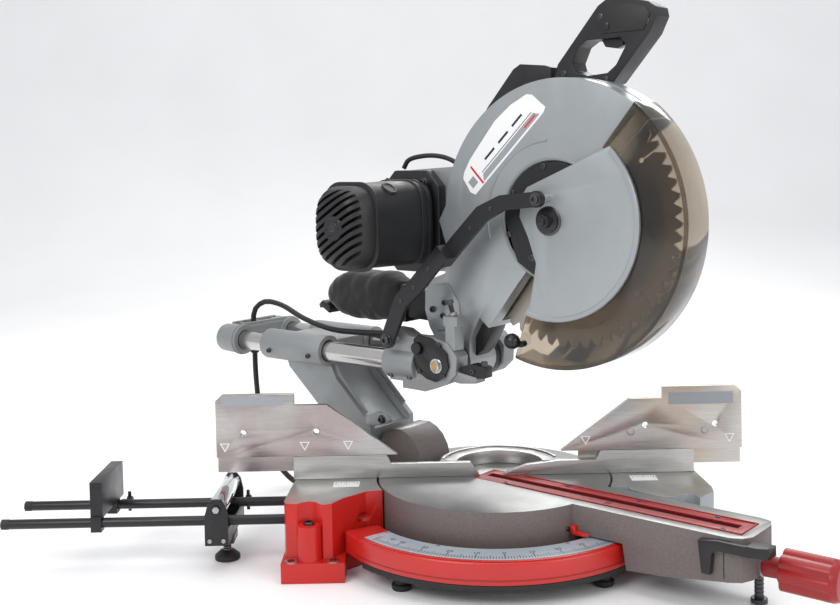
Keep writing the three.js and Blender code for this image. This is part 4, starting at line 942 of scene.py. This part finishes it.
# ------------------------------------------------------------------ head casting: plain decal, dish round the bore, screws, seam
def hplate(name, pts, x0, x1, mat, body="head", slot="silver_paint", bevel=0.0):
    return mp(name, prism_yz(pts, x0, x1), mat, body, smooth=0 if not bevel else 35, bevel=bevel, slot=slot)
dec = [(19.0, 384), (17.4, 392), (8, 408), (-8.6, 428), (-32, 455.5), (-56, 474), (-80, 486), (-88, 485), (-107, 469.5), (-104, 463), (0, 364), (8, 367)]
hplate("decal_white", dec, -27.18, -26.9, "white_label")
def lerp(a, b, t): return (a[0] + (b[0] - a[0]) * t, a[1] + (b[1] - a[1]) * t)
A0, A1 = (2.0, 363.6), (-103.0, 463.4)
nx, nz = -0.6883, -0.7254   # unit inward normal of the lower edge, in y and z
def off(p, d): return (p[0] - nx * d * -1 if False else p[0] + 0.6883 * d, p[1] + 0.7254 * d)
hplate("decal_band", [off(lerp(A0, A1, 0.16), 1.5), off(lerp(A0, A1, 0.97), 1.5), off(lerp(A0, A1, 0.93), 9.5), off(lerp(A0, A1, 0.20), 9.5)], -27.26, -27.1, "grey_label")
hplate("decal_line", [off(lerp(A0, A1, 0.20), 11.2), off(lerp(A0, A1, 0.92), 11.2), off(lerp(A0, A1, 0.92), 12.2), off(lerp(A0, A1, 0.20), 12.2)], -27.26, -27.1, "dark_ink")
hplate("decal_red_cross", [off(lerp(A0, A1, 0.135), 0.6), off(lerp(A0, A1, 0.155), 0.6), off(lerp(A0, A1, 0.155), 29), off(lerp(A0, A1, 0.135), 29)], -27.28, -27.1, "red_label")
hplate("decal_red_dash", [off(lerp(A0, A1, 0.78), 4.2), off(lerp(A0, A1, 0.93), 4.2), off(lerp(A0, A1, 0.93), 6.6), off(lerp(A0, A1, 0.78), 6.6)], -27.32, -27.2, "red_label")
hplate("decal_square", [off(lerp(A0, A1, 0.03), 7), off(lerp(A0, A1, 0.11), 7), off(lerp(A0, A1, 0.11), 18), off(lerp(A0, A1, 0.03), 18)], -27.26, -27.1, "grey_label")
for k in range(3):
    t0 = 0.3 + k * 0.2
    hplate("decal_bar_%d" % k, [off(lerp(A0, A1, t0), 18.5), off(lerp(A0, A1, t0 + 0.14), 18.5), off(lerp(A0, A1, t0 + 0.14), 21.5), off(lerp(A0, A1, t0), 21.5)], -27.26, -27.1, "dark_ink")
bm = bmesh.new(); turned(bm, [(71.0, -24.2), (72.6, -26.0), (74.4, -26.0), (75.4, -25.0)], MIT @ Matrix.Translation((0, BC[0] * mm, BC[1] * mm)) @ Matrix.Rotation(math.pi / 2, 4, 'Y'), 64)
new_obj("bore_edge", bm, "cast_silver", "head", slot="silver_paint")
bm = bmesh.new(); turned(bm, [(94.5, -26.9), (95.6, -27.7), (97.6, -27.7), (98.6, -26.9)], MIT @ Matrix.Translation((0, BC[0] * mm, BC[1] * mm)) @ Matrix.Rotation(math.pi / 2, 4, 'Y'), 96)
bmesh.ops.delete(bm, geom=[f for f in bm.faces if (MIT.inverted() @ f.calc_center_median()).y < -0.105 or (MIT.inverted() @ f.calc_center_median()).z < 0.31], context='FACES')
new_obj("dish_edge", bm, "silver_guard", "head", slot="silver_paint")
for k, a in enumerate((100, 150, 196)):
    y, z = pol(66, a)
    screw("cover_screw_%d" % k, "head", ML(-26.6, y, z), mdir(-1, 0, 0), 3.6, 1.6, "socket", "dark_steel")
screw("cover_screw_low", "head", ML(-26.6, -84, 288), mdir(-1, 0, 0), 4.2, 1.8, "socket", "dark_steel")
# arm screws and raised pads
for k, (y, z, r) in enumerate(((52, 224, 3.6), (55, 207, 3.6), (72, 214, 4.2), (30, 300, 3.4))):
    screw("arm_screw_%d" % k, "head", ML(-27.0, y, z), mdir(-1, 0, 0), r, 3.6, "socket", "dark_steel", washer=r + 2)
hplate("arm_pad", [(79, 200), (82, 228), (70, 246), (48, 250), (30, 226), (26, 204), (40, 190), (66, 186)], -29.2, -26.8, "silver_guard", bevel=1.6 * mm)
# spine cover along the back edge of the guard and guard seam
bm = bmesh.new()
n = 60; vs = []
for i in range(n + 1):
    a = math.radians(48 + (176 - 48) * i / n)
    vs.append([bm.verts.new((x * mm, (-122 - r * math.cos(a)) * mm, (332 + r * math.sin(a)) * mm)) for r, x in ((170.6, -2.2), (172.3, -2.2), (172.3, 2.2), (170.6, 2.2))])
for A, B in zip(vs, vs[1:]):
    for k in range(4):
        bm.faces.new((A[k], A[(k + 1) % 4], B[(k + 1) % 4], B[k]))
bm.faces.new(vs[0]); bm.faces.new(vs[-1][::-1])
mp("guard_seam", bm, "silver_guard", "head", smooth=40, slot="silver_paint")

mp("chute_band", prism_yz([(-26, 238), (-15, 238), (7, 209), (33, 178), (31, 160), (20, 152), (4, 164), (-12, 190), (-25, 222)], -14, 14), "black_plastic", "head", bevel=2 * mm, slot="black_plastic")
# ------------------------------------------------------------------ motor: flange screws, brush cap, ribs, grille, lead
for k, (dy, dz) in enumerate(((-31, 52), (31, 52), (-31, -52), (31, -52), (-44, 0))):
    screw("flange_screw_%d" % k, "head", ML(-34.0, 110 + dy, 328 + dz), mdir(-1, 0, 0), 3.6, 3.0, "socket", "dark_steel", washer=5.5) if k < 4 else None
bm = bmesh.new(); M = axis_matrix(ML(-104, 77, 374), mdir(0, -0.62, 0.78))
turned(bm, [(0, -3), (10.5, -3), (10.5, 1.6), (9.4, 2.6), (7.6, 2.6), (7.2, 1.6), (0, 1.6)], M, 36)
new_obj("brush_cap", bm, "black_plastic", "head", slot="black_plastic")
def sell(h, v, e, x, seg=72):
    out = []
    for i in range(seg):
        a = 2 * math.pi * (i + 0.5) / seg; c, q = math.cos(a), math.sin(a)
        out.append((x, 110 + h * math.copysign(abs(c) ** e, c), 328 + v * math.copysign(abs(q) ** e, q)))
    return out
bm = bmesh.new(); rings = []
for x, h, v, e in ((-34.3, 44.6, 54.6, 0.50), (-36, 44.6, 54.6, 0.50), (-60, 44.4, 54.4, 0.52), (-90, 43.8, 53.8, 0.54), (-120, 43.2, 53.0, 0.56), (-140, 42.6, 52.2, 0.58), (-150, 41.4, 50.8, 0.60), (-158, 39.4, 48.2, 0.62), (-164, 36.6, 45.0, 0.64), (-168.5, 33.0, 41.0, 0.66), (-171.4, 28.5, 36.0, 0.68), (-172.8, 23.0, 30.0, 0.70), (-173.4, 14.0, 19.0, 0.8), (-173.6, 6.0, 8.0, 0.9)):
    rings.append([bm.verts.new((a * mm, b * mm, c * mm)) for a, b, c in sell(h, v, e, x)])
for A, B in zip(rings, rings[1:]):
    for i in range(72):
        bm.faces.new((A[i], A[(i + 1) % 72], B[(i + 1) % 72], B[i]))
bm.faces.new(rings[0][::-1]); bm.faces.new(rings[-1])
bmesh.ops.recalc_face_normals(bm, faces=bm.faces)
motor = mp("motor_shell", bm, "black_plastic", "head", smooth=50, slot="black_plastic")
bm = bmesh.new()
for k in range(15):
    z = 328 + (k - 7) * 10.6
    extrude_poly(bm, [(-190 * mm, y * mm, zz * mm) for y, zz in ((110 - 50, z + 30.0), (110 + 50, z - 30.0), (110 + 50, z - 25.2), (110 - 50, z + 34.8))], (30 * mm, 0, 0))
bm.transform(MIT); me = bpy.data.meshes.new("slots"); bmesh.ops.recalc_face_normals(bm, faces=bm.faces); bm.to_mesh(me); bm.free()
cutter = bpy.data.objects.new("slots", me); bpy.context.scene.collection.objects.link(cutter)
bo = motor.modifiers.new("slots", 'BOOLEAN'); bo.object = cutter; bo.operation = 'DIFFERENCE'; bo.solver = 'EXACT'
dg = bpy.context.evaluated_depsgraph_get(); dg.update()
m2 = bpy.data.meshes.new_from_object(motor.evaluated_get(dg)); motor.modifiers.clear(); motor.data = m2
bpy.data.objects.remove(cutter)
mod_smooth(motor, 38)
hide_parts("motor_housing", "motor_end_cap")
bm = bmesh.new(); turned(bm, [(0, 158), (15.5, 158), (15.5, 172.2), (14.0, 173.4), (12.0, 172.9), (8.0, 172.9), (7.0, 173.8), (0, 173.8)], axis_matrix(ML(0, 110, 328), mdir(-1, 0, 0)), 48)
new_obj("motor_boss", bm, "black_plastic", "head", slot="black_plastic")
for k in range(2):
    s2 = 1 if k else -1
    mp("motor_rib_%d" % k, prism_yz([(110 + s2 * 26, 381.2), (110 + s2 * 29, 381.2), (110 + s2 * 29, 383.3), (110 + s2 * 26, 383.3)], -140, -36), "black_plastic", "head", bevel=0.8 * mm, slot="black_plastic") if False else None
screw("motor_centre", "head", ML(-173.4, 110, 328), mdir(-1, 0, 0), 4.2, 0.6, "socket", "dark_steel")
for k, xx in enumerate((-40, -52, -138)):
    bm = bmesh.new()
    def rsec(h, v, c):
        out = []
        for a, b, t in ((1, 1, 0), (-1, 1, 90), (-1, -1, 180), (1, -1, 270)):
            out += [(110 + a * (h - c) + c * math.cos(math.radians(t + 90 * i / 8)), 328 + b * (v - c) + c * math.sin(math.radians(t + 90 * i / 8))) for i in range(9)]
        return out
    extrude_poly(bm, [(xx * mm, y * mm, z * mm) for y, z in rsec(45.9, 55.9, 28.6)], (-3.0 * mm, 0, 0))
    mp("motor_band_%d" % k, bm, "black_plastic", "head", bevel=0.7 * mm, slot="black_plastic")
tube("motor_lead", [(-16, 128, 398), (-16, 120, 408), (-16, 90, 414), (-16, 60, 412), (-16, 38, 404), (-16, 24, 394)], 3.2, "rubber", "head", M=MIT, slot="rubber")
# ------------------------------------------------------------------ grips
for k, (y, z) in enumerate(((-97, 512), (-212, 566), (-156, 502), (-150, 577))):
    screw("grip_screw_%d" % k, "head", ML(29.9, y, z), mdir(-1, 0, 0), 3.4, 0.8, "socket", "dark_steel")
hplate("grip_insert", [(-150, 556), (-158, 591.5), (-192, 588.5), (-210, 583), (-217, 575), (-208, 556)], 28.6, 30.4, "rubber", slot="black_plastic", bevel=0.9 * mm)
hplate("lock_off_button", [(-150, 560), (-150, 569), (-162, 569), (-162, 560)], 27.6, 29.2, "black_satin", slot="black_plastic", bevel=0.6 * mm)

# ------------------------------------------------------------------ lower guard: rolled rim bead, plate rib, bolt washer
bm = bmesh.new(); n = 90; vs = []
for i in range(n + 1):
    a = 49.6 - 157.2 * i / n
    vs.append([bm.verts.new((x * mm, pol(r, a)[0] * mm, pol(r, a)[1] * mm)) for r, x in ((173.8, -31.9), (178.3, -31.9), (178.3, -31.05), (173.8, -31.05))])
for A, B in zip(vs, vs[1:]):
    for k in range(4):
        bm.faces.new((A[k], A[(k + 1) % 4], B[(k + 1) % 4], B[k]))
bm.faces.new(vs[0]); bm.faces.new(vs[-1][::-1])
mp("guard_bead", bm, "smoke_guard", "lower_guard", smooth=40, slot="smoke_guard")
bm = bmesh.new(); n = 90; vs = []
for i in range(n + 1):
    a = 44.5 - 151 * i / n
    vs.append([bm.verts.new((x * mm, pol(r, a)[0] * mm, pol(r, a)[1] * mm)) for r, x in ((114.5, -35.1), (115.3, -35.9), (120.0, -35.9), (120.6, -35.1))])
for A, B in zip(vs, vs[1:]):
    for k in range(4):
        bm.faces.new((A[k], A[(k + 1) % 4], B[(k + 1) % 4], B[k]))
bm.faces.new(vs[0]); bm.faces.new(vs[-1][::-1])
mp("guard_plate_rib", bm, "silver_guard", "lower_guard", smooth=40, slot="silver_paint")
bm = bmesh.new(); turned(bm, [(8.6, 35.1), (17.5, 35.1), (17.5, 36.2), (16.4, 36.8), (8.6, 36.8)], axis_matrix(ML(0, *BC), mdir(-1, 0, 0)), 48)
new_obj("guard_bolt_washer", bm, "dark_steel", "lower_guard", slot="black_steel")

# ------------------------------------------------------------------ work support: screws, thumb screws, knurled foot, rod ends
for k, (x, z) in enumerate(((-354, -52), (-337, -52))):
    screw("bracket_screw_%d" % k, "work_support", BL(x, -76, z), (0, -1, 0), 2.6, 1.4, "socket", "zinc")
screw("roller_end", "roller", BL(-345, -79, -12.5), (0, -1, 0), 4.4, 1.4, "hex", "zinc")
for k, y in enumerate((11.4, -60.7)):
    bm = bmesh.new(); x0 = -610 if k == 0 else -614
    turned(bm, [(0, 0), (5.2, 0), (6.35, 0.8), (6.35, 9), (6.0, 9.6), (0, 9.6)], axis_matrix(BL(x0 - 0.6, y, -31), (1, 0, 0)), 28)
    new_obj("rod_end_%d" % k, bm, "rubber", "work_support", slot="black_steel")
for nm, body, x, y, s in (("bracket", "work_support", -331, 20, 1), ("stop", "stop", -488, 26, 1)):
    M = axis_matrix(BL(x, y, -31 if nm == "bracket" else -31.5), (1, 0, 0))
    bm = bmesh.new(); turned(bm, [(0, 0), (3, 0), (3, 6), (6.5, 7), (6.5, 13), (5.5, 14), (0, 14)], M, 20)
    new_obj(nm + "_thumb_screw", bm, "black_plastic", body, slot="black_plastic")
    bm = bmesh.new(); extrude_poly(bm, [M @ Vector((a * mm, b * mm, 8 * mm)) for a, b in ((-12, -2), (12, -2), (13.5, 0), (12, 2), (-12, 2), (-13.5, 0))], M.to_3x3() @ Vector((0, 0, 4 * mm)))
    new_obj(nm + "_thumb_wings", bm, "black_plastic", body, bevel=0.8 * mm, slot="black_plastic")
bm = bmesh.new()
for k in range(18):
    a = 2 * math.pi * k / 18
    extrude_poly(bm, [BL(-341 + 15.6 * math.cos(a + t) + (0.9 if False else 0), -30 + 15.6 * math.sin(a + t), -89.4) for t in (-0.07, 0, 0.07)] + [BL(-341 + 16.9 * math.cos(a), -30 + 16.9 * math.sin(a), -89.4)][:0] + [BL(-341 + 14.2 * math.cos(a), -30 + 14.2 * math.sin(a), -89.4)], (0, 0, 3.6 * mm))
new_obj("foot_knurl", bm, "rubber", "support_leg", smooth=0, slot="rubber")
bm = bmesh.new(); Mf = BAS @ Matrix.Translation((-0.341, -0.030, 0))
for k in range(4):
    z = -78.5 + k * 3.0
    turned(bm, [(4.8, z), (5.18, z + 0.7), (4.8, z + 1.4)], Mf, 24)
new_obj("foot_thread", bm, "zinc", "support_leg", slot="rubber")

# ------------------------------------------------------------------ belt cover ribs and screws on the far side
for k, (y, z) in enumerate(((110, 366), (110, 290), (-114, 372), (-114, 296), (0, 331))):
    screw("belt_cover_screw_%d" % k, "head", ML(66.0, y, z), mdir(1, 0, 0), 3.6, 2.0, "socket", "dark_steel")
for k in range(5):
    y0 = -70 + k * 30
    hplate("belt_cover_rib_%d" % k, [(y0, 304), (y0 + 5, 304), (y0 + 13, 360), (y0 + 8, 360)], 65.8, 67.6, "black_plastic", slot="black_plastic", bevel=0.7 * mm)

# ------------------------------------------------------------------ dust bag: loft, cloth pressure, folds
def bag_mesh(inset):
    secs = []
    ys = [134, 140, 150, 165, 185, 205, 225, 242, 256, 267, 275, 280]
    for y in ys:
        t = (y - 134) / 146
        top = 247 + 13.5 * math.sin(min(1, t * 3.2) * math.pi / 2) - 26 * max(0, (t - 0.72) / 0.28) ** 1.7
        bot = 190 - 8.0 * math.sin(min(1, t * 3.0) * math.pi / 2) + 24 * max(0, (t - 0.72) / 0.28) ** 1.7
        hw = 29 + 8 * math.sin(min(1, t * 3) * math.pi / 2) - 14 * max(0, (t - 0.75) / 0.25) ** 1.8
        secs.append((y, (top + bot) / 2, (top - bot) / 2 - inset, hw - inset))
    bm = bmesh.new(); rings = []; seg = 36
    for y, zc, hv, hw in secs:
        ring = []
        for i in range(seg):
            a = 2 * math.pi * i / seg; c, s = math.cos(a), math.sin(a); e = 0.72
            ring.append(bm.verts.new(((3 + hw * math.copysign(abs(c) ** e, c)) * mm, y * mm, (zc + hv * math.copysign(abs(s) ** e, s)) * mm)))
        rings.append(ring)
    for A, B in zip(rings, rings[1:]):
        for i in range(seg):
            bm.faces.new((A[i], A[(i + 1) % seg], B[(i + 1) % seg], B[i]))
    bm.faces.new(rings[0][::-1]); bm.faces.new(rings[-1])
    return bm
inset = 4.5
bm = bag_mesh(inset); bm.transform(MIT)
bmesh.ops.recalc_face_normals(bm, faces=bm.faces)
me = bpy.data.meshes.new("dust_bag_fabric"); bm.to_mesh(me); bm.free()
bag = bpy.data.objects.new("dust_bag_fabric", me); bpy.context.scene.collection.objects.link(bag)
def applied(o):
    dg = bpy.context.evaluated_depsgraph_get(); dg.update()
    m2 = bpy.data.meshes.new_from_object(o.evaluated_get(dg)); o.modifiers.clear(); o.data = m2
rm = bag.modifiers.new("rm", 'REMESH'); rm.mode = 'VOXEL'; rm.voxel_size = 0.005; applied(bag)
rest = [v.co.copy() for v in bag.data.vertices]
vg = bag.vertex_groups.new(name="pin"); inv = MIT.inverted()
vg.add([i for i, v in enumerate(bag.data.vertices) if (inv @ v.co).y < 0.139 or (inv @ v.co).y > 0.278], 1.0, 'REPLACE')
cl = bag.modifiers.new("cl", 'CLOTH'); cs = cl.settings
cs.quality = 5; cs.mass = 0.25; cs.tension_stiffness = 12; cs.compression_stiffness = 10; cs.bending_stiffness = 0.4
cs.use_pressure = True; cs.uniform_pressure_force = 4.0; cs.effector_weights.gravity = 0; cs.vertex_group_mass = "pin"
cl.collision_settings.use_collision = False
sc = bpy.context.scene
cl.point_cache.frame_start = 1; cl.point_cache.frame_end = 24
for f in range(1, 21):
    sc.frame_set(f)
dg = bpy.context.evaluated_depsgraph_get()
ev = bag.evaluated_get(dg).to_mesh()
co = [v.co.copy() for v in ev.vertices]
bag.evaluated_get(dg).to_mesh_clear()
bag.modifiers.clear(); sc.frame_set(1)
for i, v in enumerate(bag.data.vertices):
    d = co[i] - rest[i]
    if d.length > 0.0045: d = d.normalized() * 0.0045
    v.co = rest[i] + d
bag.data.update()
nr = [v.normal.copy() for v in bag.data.vertices]
inv = MIT.inverted()
for i, v in enumerate(bag.data.vertices):
    q = inv @ v.co * 1000
    t = (q.y - 134) / 146
    f = noise.noise(Vector((q.x * 0.02 + 3, q.y * 0.045 + q.z * 0.03, q.z * 0.03))) + 0.5 * noise.noise(Vector((q.x * 0.05, q.y * 0.10 - q.z * 0.06, q.z * 0.05 + 9)))
    crease = -abs(math.sin(q.y * 0.11 + 1.6 * noise.noise(Vector((q.x * 0.02, q.z * 0.03, 2))) + q.z * 0.035)) ** 9
    v.co += nr[i] * (f * 2.4 - 0.9 + crease * 1.3 * sstep(0, 0.2, t)) * mm
bag.data.update()
lo_y, hi_y = 133.4, 280.6
for v in bag.data.vertices:
    q = inv @ v.co * 1000
    q.x = max(-33.6, min(39.6, q.x)); q.y = max(lo_y, min(hi_y, q.y)); q.z = max(181.3, min(260.6, q.z))
    v.co = MIT @ (q * mm)
for p in bag.data.polygons: p.use_smooth = True
bag.data.materials.clear(); bag.data.materials.append(MATS["bag_fabric"])
ss = bag.modifiers.new("ss", 'SUBSURF'); ss.levels = 1; ss.render_levels = 1
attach(bag, "head"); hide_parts("dust_bag")
# collar band and closing clip
bm = bmesh.new()
def rrect(hx, hz, c, cx, cz, n=6):
    out = []
    for a, b, t in ((1, 1, 0), (-1, 1, 90), (-1, -1, 180), (1, -1, 270)):
        out += [(cx + a * (hx - c) + c * math.cos(math.radians(t + 90 * i / n)), cz + b * (hz - c) + c * math.sin(math.radians(t + 90 * i / n))) for i in range(n + 1)]
    return out
rings = []
for hx, hz, y in ((22, 21, 130.2), (24.6, 23.6, 130.4), (24.6, 23.6, 134.2), (22, 21, 134.6)):
    rings.append([bm.verts.new((x * mm, y * mm, z * mm)) for x, z in rrect(hx, hz, 8, 2, 218)])
k = len(rings[0])
for A, B in zip(rings, rings[1:] + rings[:1]):
    for i in range(k):
        bm.faces.new((A[i], A[(i + 1) % k], B[(i + 1) % k], B[i]))
mp("bag_collar", bm, "black_plastic", "head", smooth=40, slot="black_plastic")
bm = prism_yz([(268, 193), (282, 201), (286, 199), (288, 205), (281, 211), (266, 203)], -24, 30)
mp("bag_clip", bm, "black_satin", "head", bevel=1.2 * mm, slot="black_plastic")
